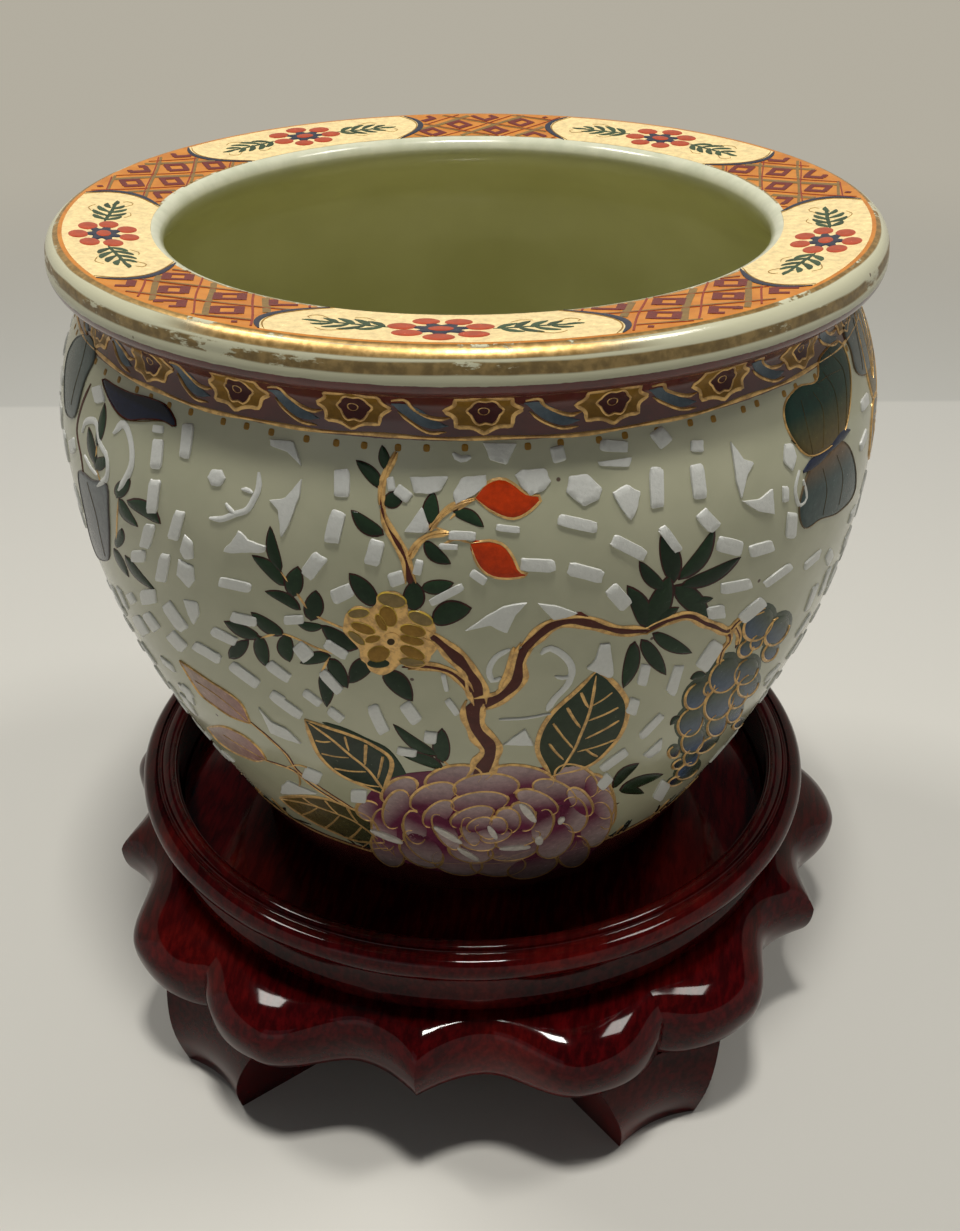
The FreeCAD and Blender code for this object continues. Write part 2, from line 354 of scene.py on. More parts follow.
outer = bodyCurve(0)
inner = bodyCurve(pot["wall"])
neck = (pot["neckRadius"], pot["neckHeight"])
flatOut = (pot["flatOut"], pot["height"])
mouthLevel = pot["height"] - pot["dish"]
flatIn = (pot["mouth"] + pot["mouthRound"], mouthLevel)
throat = ((pot["mouth"] + pot["neckRadius"]) / 2, mouthLevel - pot["rimThickness"] - pot["mouthRound"])
quarter = pot["mouthRound"] * (1 - math.sqrt(0.5))
insideFloor = pot["recess"] + pot["base"]
outline = {
    "foot": [(0, pot["recess"]), (pot["ringIn"], pot["recess"]), (pot["ringIn"], 0),
             (pot["ringOut"], 0), (pot["ringOut"], pot["ringHeight"]), outer[0]],
    "body": outer,
    "neck": bezier([outer[-1], neck, neck, pot["lipUnder"]], 60),
    "lip": np.concatenate([
        arc(pot["lipUnder"], pot["lipTurn"], pot["lipOut"], 40),
        arc(pot["lipOut"], pot["lipTop"], flatOut, 30)[1:]]),
    "rim": [flatOut, flatIn],
    "mouth": arc(flatIn, (pot["mouth"] + quarter, mouthLevel - quarter),
                 (pot["mouth"], mouthLevel - pot["mouthRound"]), 20),
    "inside": np.concatenate([
        bezier([(pot["mouth"], mouthLevel - pot["mouthRound"]),
                (pot["mouth"], mouthLevel - pot["rimThickness"]), throat, inner[-1]], 60),
        inner[::-1][1:],
        bezier([inner[0], (pot["startRadius"] - pot["wall"] - pot["base"] / 4,
                           insideFloor + pot["base"] / 8),
                (pot["startRadius"] - pot["wall"] - pot["base"], insideFloor)], 12)[1:],
        [(0, insideFloor)]]),
}
outline = {key: np.array(value, float) + [0, pot["bottom"]] for key, value in outline.items()}
chartLine = np.concatenate([outline[key] for key in ("body", "neck", "lip", "rim", "mouth")])
moved = np.concatenate([[True], np.diff(lengths(chartLine)) > 0])
chartLine = respaced(chartLine[moved], 0.4)
chartLength = lengths(chartLine)
chartSlope = np.gradient(chartLine, chartLength, axis=0)
rimStart = chartLength[np.argmax(chartLine[:, 1])]


def alongLine(run, values):
    return np.interp(run, chartLength, values)


def radiusAt(run):
    return alongLine(run, chartLine[:, 0])


def onPot(chart, lift=0.0):
    # The outline's point at that length, moved off along its normal and turned by the angle.
    angle, run = chart[..., 0], chart[..., 1]
    radius = alongLine(run, chartLine[:, 0]) + lift * alongLine(run, chartSlope[:, 1])
    height = alongLine(run, chartLine[:, 1]) - lift * alongLine(run, chartSlope[:, 0])
    return np.stack([radius * np.cos(angle), radius * np.sin(angle), height + 0 * angle], -1)


def runAtHeight(height):
    # Length along the outline at a height, below the rim's edge.
    rising = chartLength < rimStart
    return np.interp(height, chartLine[rising, 1], chartLength[rising])


def runOnRim(radius):
    # Length along the outline at a radius on the rim's flat.
    flat = (chartLength >= rimStart) & (chartLine[:, 0] > pot["mouth"] + 1)
    return np.interp(-radius, -chartLine[flat, 0], chartLength[flat])


def photoRays(pixels):
    pixels = np.asarray(pixels, float)
    right = (pixels[..., 0] - shot["photoWidth"] / 2) / focus
    down = (pixels[..., 1] - shot["photoHeight"] / 2) / focus
    rays = ahead + right[..., None] * lensRight - down[..., None] * lensUp
    return rays / np.linalg.norm(rays, axis=-1, keepdims=True)


def fromPhoto(pixels):
    # Sends a ray through each pixel of the photograph's frame and charts the first point
    # where it enters the pot. A ray that misses takes the point where it comes nearest.
    rays = photoRays(pixels)
    rising = chartLength < rimStart
    heights, radii = chartLine[rising, 1], chartLine[rising, 0]
    reach = np.linspace(250, 650, 500)

    def clearance(distance):
        points = eye + rays[..., None, :] * distance[..., None]
        gap = np.hypot(points[..., 0], points[..., 1]) - np.interp(points[..., 2], heights, radii)
        return gap + 1000 * (points[..., 2] > heights[-1])

    gaps = clearance(np.broadcast_to(reach, rays.shape[:-1] + reach.shape))
    entered = gaps < 0
    first = np.where(entered.any(-1), entered.argmax(-1), gaps.argmin(-1))
    far = reach[first]
    near = np.where(entered.any(-1), reach[np.maximum(first - 1, 0)], far)
    for _ in range(12):
        middle = (near + far) / 2
        inside = clearance(middle[..., None])[..., 0] < 0
        far = np.where(inside, middle, far)
        near = np.where(inside, near, middle)
    points = eye + rays * far[..., None]
    return np.stack([np.arctan2(points[..., 1], points[..., 0]), runAtHeight(points[..., 2])], -1)


def smoothPath(points, step, closed=False):
    # A Catmull-Rom curve through the points of a chart, respaced by its length on the pot.
    points = np.asarray(points, float)
    if closed:
        padded = np.concatenate([points[-1:], points, points[:2]])
    else:
        padded = np.concatenate([2 * points[:1] - points[1:2], points, 2 * points[-1:] - points[-2:-1]])
    share = np.linspace(0, 1, 9)[:-1, None, None]
    p0, p1, p2, p3 = (padded[k:len(padded) - 3 + k] for k in range(4))
    curve = 0.5 * (2 * p1 + (p2 - p0) * share + (2 * p0 - 5 * p1 + 4 * p2 - p3) * share ** 2
                   + (3 * p1 - p0 - 3 * p2 + p3) * share ** 3)
    curve = curve.transpose(1, 0, 2).reshape(-1, 2)
    curve = np.concatenate([curve, points[:1] if closed else points[-1:]])
    scale = np.array([radiusAt(curve[:, 1].mean()), 1.0])
    even = respaced(curve * scale, step) / scale
    return even[:-1] if closed else even


sink = 0.15     # how far a patch's underside lies inside the glaze
laid = []       # the chart places of every patch so far


def sideways(path):
    # The unit step to the left of a path at each of its points, and a chart's scale there.
    radius = radiusAt(path[:, 1])
    scale = np.stack([radius, np.ones_like(radius)], 1)
    along = np.gradient(path, axis=0) * scale
    along /= np.linalg.norm(along, axis=1, keepdims=True) + 1e-9
    return np.stack([-along[:, 1], along[:, 0]], 1), scale


def strip(mould, left, right, lift, tone=(1, 1, 1), finish=0, columns=3, base=0.0):
    # A closed patch between two edges: rows run along it, and across it the surface rises
    # from the edges to the full lift. An underside of the same columns lies inside the glaze.
    across = np.linspace(0, 1, columns + 2)
    crown = 1 - (2 * across - 1) ** 4
    shares = np.concatenate([across, across[::-1]])
    lifts = np.concatenate([base + lift * (0.35 + 0.65 * crown), 0 * across - sink])
    chart = left[:, None] + (right - left)[:, None] * shares[:, None]
    laid.append(chart.reshape(-1, 2)[::2])
    points = onPot(chart, lifts)
    rows, count = points.shape[:2]
    first = np.arange(columns + 1)
    cap = np.stack([first, first + 1, count - 2 - first, count - 1 - first], 1)
    faces = [gridFaces(rows, count, closeColumns=True), cap[:, ::-1], cap + (rows - 1) * count]
    colour = tone(chart).reshape(-1, 3) if callable(tone) else tone
    mould.add(points, faces, colour, finish)


def ribbon(mould, path, width, lift, tone=(1, 1, 1), finish=0, step=1.6, tips=(0.3, 0.3),
           closed=False, base=0.0, columns=1):
    # A raised line: its edges stand half its width to each side of a smooth path, drawn in
    # towards both ends.
    path = smoothPath(path, step, closed)
    if closed:
        path = np.concatenate([path, path[:1]])
    side, scale = sideways(path)
    share = np.linspace(0, 1, len(path))
    start, end = (1, 1) if closed else tips
    width = np.interp(share, np.linspace(0, 1, np.size(width)), np.atleast_1d(width))
    width = width * np.minimum(1, np.minimum(start + share * 6, end + (1 - share) * 6))
    offset = side * width[:, None] / 2 / scale
    strip(mould, path + offset, path - offset, lift, tone, finish, columns, base)


def disc(mould, edge, lift, tone=(1, 1, 1), finish=0, spacing=3.0, base=0.0):
    # A closed patch with a star-shaped edge: rings of the edge shrink towards a hub, the top
    # is level and rounds down at the edge, and the underside closes inside the glaze.
    hub = edge.mean(0)
    scale = np.array([radiusAt(hub[1]), 1.0])
    reach = np.linalg.norm((edge - hub) * scale, axis=1).max()
    rings = np.linspace(0, 1, max(2, int(math.ceil(reach / spacing))) + 1)[1:-1]
    shares = np.concatenate([rings, [1 - min(0.3, 0.35 / reach), 1, 1]])
    lifts = np.concatenate([np.ones(len(rings)), [0.9, 0.35, 0]]) * lift + base
    lifts = np.broadcast_to(lifts[:, None], (len(shares), len(edge))).copy()
    lifts[-1] = -sink
    chart = hub + (edge - hub) * shares[:, None, None]
    laid.append(chart.reshape(-1, 2)[::2])
    rows, count = len(shares), len(edge)
    points = onPot(chart, lifts).reshape(-1, 3)
    middle = onPot(hub[None], np.array([lift + base]))
    under = onPot(hub[None], np.array([-sink]))
    faces = [gridFaces(rows, count, closeColumns=True)[:, ::-1]] + hubFaces(rows, count, flip=False)
    colour = tone
    if callable(tone):
        colour = tone(np.concatenate([chart.reshape(-1, 2), hub[None], hub[None]]))
    mould.add(np.concatenate([points, middle, under]), faces, colour, finish)


def counterClockwise(edge):
    # Turns an edge so that it runs anticlockwise as seen from outside the pot.
    x, y = edge[:, 0] * radiusAt(edge[:, 1].mean()), edge[:, 1]
    area = np.sum(x * np.roll(y, -1) - np.roll(x, -1) * y)
    return edge if area > 0 else edge[::-1]


def glazeFinish():
    # Celadon glaze with soft cloudy tone and iron specks, painted paler up the lip as painted light;
    # a maroon band round the neck and one round the base; worn gold on the lip, and a bright
    # gold stripe on its top edge at the front and back that is a painted highlight.
    finish = Finish("celadon_glaze", IOR=1.5)
    cloud = finish.noise(38, 4)
    fine = finish.noise(1.6, 2)
    body = finish.mix(finish.rise(cloud, 0.35, 0.65), (0.40, 0.40, 0.275), (0.46, 0.455, 0.32))
    # Painted light: the glaze is painted paler up the lip, where the lamps light its top.
    body = finish.mix(finish.rise(finish.z, 262, 284), body, (0.56, 0.55, 0.39))
    body = finish.mix(finish.specks(13, 0.055), body, (0.09, 0.05, 0.03))
    edge = (finish.noise(5, 3) - 0.5) * 0.7
    maroon = finish.mix(finish.rise(finish.noise(9, 4), 0.3, 0.7), (0.075, 0.012, 0.011),
                        (0.12, 0.020, 0.016))
    neckBand = finish.band(finish.z + edge, 259.5, 276.2, 0.12)
    baseBand = 1 - finish.rise(finish.z + edge, 99.4, 99.7)
    body = finish.mix(neckBand, body, maroon)
    body = finish.mix(baseBand, body, maroon)
    streak = finish.noise(26, 6, 0.72, (1, 1, 3.2))
    swing = (finish.noise(60, 2) - 0.5) * 3.2
    ring = finish.band(finish.z + swing, 278.6, 281.6, 0.25)
    ring = ring * finish.rise(streak, 0.38, 0.42)
    # A brighter gold stripe along the lip's top edge, only at the front and the back: a painted highlight.
    front = 1 - finish.rise(finish.x.maths("ABSOLUTE", finish.x), 42, 66)
    upper = finish.band(finish.z + swing * 0.3, 282.5, 284.5, 0.2) * front
    upper = upper * finish.rise(finish.noise(21, 6, 0.7), 0.36, 0.40)
    top = finish.band(finish.radius() + swing * 0.6, 121.9, 124.0, 0.2) * finish.rise(finish.z, 283.2,
                                                                                      283.8)
    top = top * finish.rise(finish.noise(17, 6, 0.7), 0.40, 0.44)
    # From here top also holds that painted highlight, so it takes the bright tint and more metal below.
    top = top.maths("MAXIMUM", top, upper)
    gold = ring.maths("MAXIMUM", ring, top)
    tarnish = finish.mix(finish.rise(finish.noise(3, 4), 0.35, 0.7), (0.15, 0.10, 0.034),
                         (0.28, 0.19, 0.07))
    bright = finish.mix(finish.rise(finish.noise(2, 4), 0.35, 0.7), (0.42, 0.26, 0.09), (0.68, 0.44, 0.17))
    tint = finish.mix(top, tarnish, bright)
    finish.put(Base_Color=finish.mix(gold, body, tint), Metallic=gold * 0.4 + top * 0.5,
               Roughness=0.13 + gold * 0.2 + fine * 0.08)
    finish.bump(cloud * 0.6 + fine * 0.05, 0.4, 0.5)
    return finish


def rimFinish():
    # Orange ground, brushed on unevenly, turning pale inside its inner edge.
    finish = Finish("rim_ground", Roughness=0.32, Specular_IOR_Level=0.35)
    brush = finish.noise(7, 4, 0.6)
    ground = finish.mix(finish.rise(brush, 0.3, 0.7), (0.50, 0.165, 0.018), (0.62, 0.235, 0.030))
    radius = finish.radius()
    wobble = (finish.noise(12, 3) - 0.5) * 0.9
    inner = 1 - finish.rise(radius + wobble * 0.4, 96.0, 96.3)
    finish.put(Base_Color=finish.mix(inner, ground, (0.62, 0.60, 0.44)))
    finish.bump(brush, 0.15, 0.5)
    return finish


def insideFinish():
    # Pale bead at the mouth that runs down into a deeper olive glaze.
    finish = Finish("inside_glaze", IOR=1.5)
    cloud = finish.noise(55, 3)
    olive = finish.mix(finish.rise(cloud, 0.3, 0.7), (0.56, 0.55, 0.30), (0.64, 0.63, 0.37))
    depth = finish.rise(finish.z + (finish.noise(14, 2) - 0.5) * 2, 275, 282)
    bead = finish.mix(finish.rise(finish.noise(6, 4), 0.3, 0.7), (0.56, 0.58, 0.44), (0.66, 0.67, 0.52))
    colour = finish.mix(depth, olive, bead)
    line = finish.band(finish.radius() + (finish.noise(20, 2) - 0.5) * 0.8, 96.2, 97.4, 0.15)
    worn = finish.rise(finish.noise(9, 5, 0.7), 0.42, 0.47) * line * finish.rise(finish.z, 281.4, 281.9)
    finish.put(Base_Color=finish.mix(worn, colour, (0.30, 0.20, 0.07)), Roughness=0.12 + cloud * 0.1)
    finish.bump(cloud, 0.5, 0.4)
    return finish


def clayFinish():
    finish = Finish("bare_clay", Roughness=0.85)
    grain = finish.noise(1.2, 5)
    finish.put(Base_Color=finish.mix(grain, (0.42, 0.36, 0.27), (0.60, 0.54, 0.43)))
    finish.bump(grain, 0.2)
    return finish


def slipFinish():
    # Thick white slip, slightly chalky, with a glaze over it.
    finish = Finish("white_slip", Roughness=0.34, Coat_Weight=0.25, Coat_Roughness=0.2)
    grain = finish.noise(1.1, 4, 0.65)
    finish.put(Base_Color=finish.mix(grain, (0.56, 0.57, 0.54), (0.72, 0.73, 0.70)))
    finish.bump(grain, 0.25, 0.6)
    return finish


def enamelFinish():
    # Painted enamel: the tone of each patch with brush streaks, under a clear gloss.
    finish = Finish("painted_enamel", Specular_IOR_Level=0.14)
    tone = finish.node("ShaderNodeAttribute", {"attribute_name": "tone"}, output="Color")
    brush = finish.noise(2.2, 4, 0.7)
    dark = finish.mix(1.0, tone, (0.80, 0.80, 0.80), "MULTIPLY")
    light = finish.mix(1.0, tone, (1.16, 1.15, 1.12), "MULTIPLY")
    finish.put(Base_Color=finish.mix(finish.rise(brush, 0.25, 0.75), dark, light),
               Roughness=0.14 + brush * 0.2)
    finish.bump(brush, 0.12, 0.5)
    return finish


def goldFinish():
    # Fired gold, worn dull in places.
    finish = Finish("worn_gold")
    wear = finish.rise(finish.noise(2.4, 5, 0.7), 0.42, 0.62)
    finish.put(Base_Color=finish.mix(wear, (0.68, 0.42, 0.15), (0.46, 0.27, 0.095)),
               Metallic=0.6 - wear * 0.35, Roughness=0.28 + wear * 0.2)
    finish.bump(finish.noise(0.9, 3), 0.12, 0.5)
    return finish


def lacquerFinish():
    # Dark red stained hardwood under thick clear lacquer: long grain, warm glows where the
    # stain is thin, near black elsewhere.
    finish = Finish("rosewood_lacquer_finish", Specular_IOR_Level=0.0, Coat_Weight=0.8,
                    Coat_Roughness=0.06, Coat_IOR=1.3)
    grain = finish.noise(2.2, 5, 0.6, (1, 0.16, 1))
    pores = finish.noise(0.7, 2, 0.5, (1, 0.07, 1))
    glow = finish.rise(finish.noise(46, 3, 0.5), 0.48, 0.72)
    stain = finish.mix(finish.rise(grain, 0.35, 0.7), (0.022, 0.0005, 0.0010), (0.062, 0.0014, 0.0022))
    warm = finish.mix(finish.rise(grain, 0.35, 0.7), (0.10, 0.003, 0.002), (0.17, 0.008, 0.004))
    finish.put(Base_Color=finish.mix(glow * 0.5, stain, warm), Roughness=0.26 + pores * 0.2)
    finish.bump(finish.noise(7, 3) + finish.noise(1.1, 3) * 0.10 + pores * 0.04, 0.12, 0.45)
    return finish


def woodFinish():
    finish = Finish("bare_wood_finish", Roughness=0.7)
    grain = finish.noise(1.5, 5, 0.6, (1, 1, 0.1))
    finish.put(Base_Color=finish.mix(grain, (0.20, 0.09, 0.045), (0.36, 0.19, 0.10)))
    finish.bump(grain, 0.2)
    return finish


makeCamera()
makeLights()
glaze, rimGround, insideGlaze, clay = glazeFinish(), rimFinish(), insideFinish(), clayFinish()
slip, enamel, gold = slipFinish(), enamelFinish(), goldFinish()
lacquer, wood = lacquerFinish(), woodFinish()
print("camera, lights and finishes are ready")


def makePotShell():
    # The outline, respaced by the size of its curves, is carried round the axis; the first and
    # last points lie on the axis and close the ends.
    steps = {"foot": 4.0, "body": 1.9, "neck": 1.0, "lip": 0.8, "rim": 2.0, "mouth": 0.8, "inside": 3.2}
    order = {"foot": 3, "body": 0, "neck": 0, "lip": 0, "rim": 1, "mouth": 2, "inside": 2}
    mould = Mould("pot_shell", [glaze, rimGround, insideGlaze, clay])
    runs, picks = [], []
    for key, step in steps.items():
        corners = outline[key]
        run = corners if key == "foot" else respaced(corners, step)
        runs.append(run[:-1])
        picks.append(np.full(len(run) - 1, order[key]))
    profile = np.concatenate(runs + [outline["inside"][-1:]])
    picks = np.concatenate(picks)
    ring = turnedPoints(profile[1:-1], pot["turns"])
    rows, count = ring.shape[:2]
    points = np.concatenate([ring.reshape(-1, 3), [[0, 0, profile[0, 1]], [0, 0, profile[-1, 1]]]])
    quads = gridFaces(rows, count, closeColumns=True).reshape(rows - 1, count, 4)
    faces = [quads[picks[1:rows] == pick].reshape(-1, 4) for pick in range(4)]
    mould.add(points, faces + hubFaces(rows, count), finish=[0, 1, 2, 3, 3, 2])
    mould.make(pot["sharp"], "jardiniere_pot")


makePotShell()
print("pot shell is made")


nodeBox = {name: [np.array(corner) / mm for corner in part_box(name)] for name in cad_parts}
stand = {
    "floor": nodeBox["tray_floor"][1][2], "top": nodeBox["tray_rim"][1][2],
    "waistTop": nodeBox["waist_ring"][1][2], "apronTop": nodeBox["apron_segment_1"][1][2],
    "apronBottom": nodeBox["apron_segment_1"][0][2],
    "trayOut": 123.9, "trayIn": 111.0, "bead": 5.4, "groove": 2.6, "grooveDepth": 1.4,
    "flange": 9.6, "waistOut": 117.0, "coveIn": 115.5, "waistIn": 97.0, "floorGap": 0.3,
    "panelHub": 4.0, "panelRing": 70.0, "panelEdge": 0.4,
    "turns": 256, "sharp": 35, "sides": 5, "front": -90.0,
}
apron = {
    "inner": 93.0, "tip": 136.6, "notch": 127.0, "lobe": 141.0, "junction": 131.5,
    "notchAngle": 9.5, "lobeAngle": 23.0, "widest": 13.0, "round": 9.0, "endRound": 4.5,
    "full": 0.62, "endPower": 2.5, "rows": 97, "smoothing": 2.2,
}
foot = {
    "toe": 133.0, "half": 15.5, "hollow": 3.0, "belly": 3.2, "neck": 1.5, "flare": 9.5,
    "flarePower": 1.6, "back": 101.0, "spread": 5.0, "lean": 4.0, "rows": 25, "across": 15,
}


def woodMould(name):
    return Mould(name, [lacquer], "stand", "rosewood_lacquer")


def turnedPiece(name, profile, replaced):
    # A closed section carried round the axis.
    turns = stand["turns"]
    mould = woodMould(name)
    mould.add(turnedPoints(profile, turns), [
        gridFaces(len(profile), turns, closeRows=True, closeColumns=True)])
    mould.make(stand["sharp"], replaced)


def makeTray():
    top, groove = stand["top"], stand["top"] - stand["grooveDepth"] / 2
    beadEnd = stand["trayIn"] + stand["bead"]
    grooveEnd = beadEnd + stand["groove"]
    under = top - stand["flange"]
    waist = stand["waistTop"]
    section = np.concatenate([
        bezier([(stand["trayIn"], waist), (stand["trayIn"], top - stand["bead"] / 2)], 8)[:-1],
        arc((stand["trayIn"], top - stand["bead"] / 2), (stand["trayIn"] + stand["bead"] / 2, top),
            (beadEnd, groove), 14)[:-1],
        arc((beadEnd, groove), (beadEnd + stand["groove"] / 2, groove - stand["grooveDepth"]),
            (grooveEnd, groove), 8)[:-1],
        arc((grooveEnd, groove), (stand["trayOut"], top - stand["flange"] / 2), (grooveEnd, under),
            22)[:-1],
        [(grooveEnd, under)],
        arc((stand["waistOut"], under), (stand["coveIn"], (under + waist) / 2),
            (stand["waistOut"], waist), 8),
    ])[::-1]
    turnedPiece("tray_ring", section, "tray_rim")
    radius = stand["trayIn"] - stand["floorGap"]
    mould = woodMould("tray_panel")
    floor, hub, edge = stand["floor"], stand["panelHub"], stand["panelEdge"]
    profile = np.array([(hub, waist), (radius, waist), (radius, floor - edge), (radius - edge, floor),
                        (stand["panelRing"], floor), (hub, floor)])
    rows, count = len(profile), stand["turns"]
    ring = turnedPoints(profile, count)
    points = np.concatenate([ring.reshape(-1, 3), [[0, 0, waist], [0, 0, floor]]])
    mould.add(points, [gridFaces(rows, count, closeColumns=True)] + hubFaces(rows, count))
    mould.make(stand["sharp"], "tray_floor")
    low, high = stand["apronTop"], stand["waistTop"]
    section = np.array([(stand["waistIn"], low), (stand["waistOut"], low), (stand["waistOut"], high),
                        (stand["waistIn"], high)])
    turnedPiece("waist_band", section, "waist_ring")


def apronRadius(offset):
    # From the tip the edge sweeps in to a notch, swells in a half wave to the lobe and rounds
    # off to the junction.
    near = apron["notch"] + (apron["tip"] - apron["notch"]) * (1 - offset / apron["notchAngle"]) ** 2
    swell = (offset - apron["notchAngle"]) / (apron["lobeAngle"] - apron["notchAngle"])
    middle = apron["notch"] + (apron["lobe"] - apron["notch"]) * (1 - np.cos(np.pi * swell)) / 2
    share = np.clip((offset - apron["lobeAngle"]) / (180 / stand["sides"] - apron["lobeAngle"]), 0, 1)
    far = apron["lobe"] - (apron["lobe"] - apron["junction"]) * share ** apron["endPower"]
    beyond = np.where(offset <= apron["lobeAngle"], middle, far)
    return np.where(offset <= apron["notchAngle"], near, beyond), share


def makeApron(number, tip):
    # Each section across the apron is a closed loop: flat underside, pillow-shaped front in
    # two curves, flat top and inner wall. The sections follow the edge round the stand.
    half = 180 / stand["sides"]
    offset = np.linspace(-half, half, apron["rows"])
    widest, share = apronRadius(np.abs(offset))
    rounding = apron["round"] + (apron["endRound"] - apron["round"]) * share
    low, high = stand["apronBottom"], stand["apronTop"]
    level = low + apron["widest"]
    full, shoulder = apron["full"], stand["waistOut"]
    same = np.ones_like(widest)
    near = np.exp(-((offset[:, None] - offset) / apron["smoothing"]) ** 2)
    smooth = near @ widest / near.sum(1)

    def section(poles, count):
        poles = [np.stack([radius, height * same], 1)[:, None] for radius, height in poles]
        rate = np.linspace(0, 1, count)[:, None]
        while len(poles) > 1:
            poles = [first + (second - first) * rate for first, second in zip(poles, poles[1:])]
        return poles[0]

    loop = np.concatenate([
        section([(apron["inner"] * same, low), (widest - rounding, low)], 8)[:, :-1],
        section([(widest - rounding, low), (widest - rounding * (1 - full), low),
                 (widest, level - apron["widest"] * full), (widest, level)], 12)[:, :-1],
        section([(widest, level), (smooth, level + (high - level) * full),
                 (shoulder + (smooth - shoulder) * (1 - full), high), (shoulder * same, high)], 18)[:, :-1],
        section([(shoulder * same, high), (apron["inner"] * same, high)], 5)[:, :-1],
        section([(apron["inner"] * same, high), (apron["inner"] * same, low)], 5)[:, :-1],
    ], 1)
    swing = np.radians(tip + offset)[:, None]
    points = np.stack([loop[..., 0] * np.cos(swing), loop[..., 0] * np.sin(swing), loop[..., 1]], -1)
    rows, count = points.shape[:2]
    index = np.arange(count)
    first = np.stack([0 * index[1:-1], index[1:-1], index[2:]], 1)
    last = np.stack([0 * index[1:-1], index[2:], index[1:-1]], 1) + (rows - 1) * count
    mould = woodMould("apron_lobe_" + str(number))
    mould.add(points, [gridFaces(rows, count, closeColumns=True)[:, ::-1], first, last])
    mould.make(stand["sharp"], "apron_segment_" + str(number))


def makeFoot(number, junction):
    # Outlines stacked from the toe up: a hollow arc in front, two straight sides that spread
    # inwards and a straight back.
    share = np.linspace(0, 1, foot["rows"])
    height = share * stand["apronBottom"]
    corner = foot["toe"] + foot["belly"] * np.sin(np.pi * share) - foot["neck"] * share ** 3
    hollow = foot["hollow"] * (1 - share / 3)
    half = foot["half"] + foot["flare"] * share ** foot["flarePower"]
    back = foot["back"] - foot["lean"] * share
    backHalf = foot["half"] + foot["spread"] + (foot["flare"] - foot["spread"] / 2) * share
    rate = np.linspace(-1, 1, foot["across"])
    column = np.ones(foot["across"])
    front = np.stack([corner[:, None] - hollow[:, None] * (1 - rate ** 2), half[:, None] * rate], -1)
    side = np.linspace(0, 1, 8)[1:-1]
    right = np.stack([corner[:, None] + (back - corner)[:, None] * side,
                      half[:, None] + (backHalf - half)[:, None] * side], -1)
    rear = np.stack([back[:, None] * column, -backHalf[:, None] * rate], -1)
    left = right[:, ::-1] * [1, -1]
    loop = np.concatenate([front, right, rear, left], 1)
    swing = math.radians(junction)
    points = np.stack([
        loop[..., 0] * math.cos(swing) - loop[..., 1] * math.sin(swing),
        loop[..., 0] * math.sin(swing) + loop[..., 1] * math.cos(swing),
        height[:, None] + 0 * loop[..., 0]], -1)
    rows, count = points.shape[:2]
    mould = woodMould("bracket_foot_" + str(number))
    mould.add(np.concatenate([points.reshape(-1, 3), points[[0, -1]].mean(1)]),
              [gridFaces(rows, count, closeColumns=True)] + hubFaces(rows, count))
    mould.make(stand["sharp"], "foot_" + str(number))


makeTray()
for side in range(stand["sides"]):
    tipAngle = stand["front"] + side * 360 / stand["sides"]
    makeApron(side + 1, tipAngle)
    makeFoot(side + 1, tipAngle + 180 / stand["sides"])
for name in ("apron_splines", "foot_dowels", "waist_pegs"):
    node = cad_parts[name]
    node.data.materials.clear()
    node.data.materials.append(wood.material)
print("stand is made")


# Pixel places are in the photograph's 960 x 1231 frame.
frontAndBack = (0.0, math.pi)
sideGroup = {"left": 262, "right": 452, "top": 545, "bottom": 716, "middle": (357, 630), "angle": 9.0}
paint = {
    "leaf": (0.013, 0.032, 0.014), "leafEdge": (0.045, 0.012, 0.010), "red": (0.52, 0.042, 0.004),
    "ochre": (0.31, 0.165, 0.025), "paleOchre": (0.27, 0.19, 0.075), "bark": (0.088, 0.022, 0.016),
    "cream": (0.84, 0.66, 0.34), "navy": (0.022, 0.028, 0.055), "blueGrey": (0.11, 0.15, 0.19),
    "maroon": (0.062, 0.011, 0.011), "brick": (0.42, 0.065, 0.028), "yellow": (0.50, 0.35, 0.06),
}


def chartOf(pixels, swing=0.0):
    return fromPhoto(np.asarray(pixels, float)) + [swing, 0]


def smoothEdge(pixels, swing, step):
    # The smooth closed edge through pixels of the photograph.
    return counterClockwise(smoothPath(chartOf(pixels, swing), step, closed=True))


def bothEdges(shape, swing, count):
    # The left and the right edge of a leaf or bud, with as many points in each.
    share = np.linspace(0, 1, count)
    edges = []
    for key in ("left", "right"):
        path = smoothPath(chartOf(shape[key], swing), 1.5)
        walk = np.linspace(0, 1, len(path))
        edges.append(np.stack([np.interp(share, walk, path[:, axis]) for axis in range(2)], 1))
    return edges


def ripple(count, rate):
    return np.sin(np.linspace(0, count * rate, count) + dice.uniform(0, 6))


def swings(pixels):
    # The painting is on the front and the back; one group of it also fills the plain sides.
    x, y = np.asarray(pixels, float).reshape(-1, 2).mean(0)
    inside = sideGroup["left"] < x < sideGroup["right"] and sideGroup["top"] < y < sideGroup["bottom"]
    if not inside:
        return frontAndBack
    turned = math.radians(sideGroup["angle"]) - fromPhoto(np.array([sideGroup["middle"]]))[0, 0]
    return frontAndBack + (turned, turned + math.pi)


def pixelSize(chart):
    # Millimetres to a pixel of the photograph at the middle of a front chart.
    place = onPot(chart.reshape(-1, 2).mean(0))
    return (place - eye) @ ahead / focus


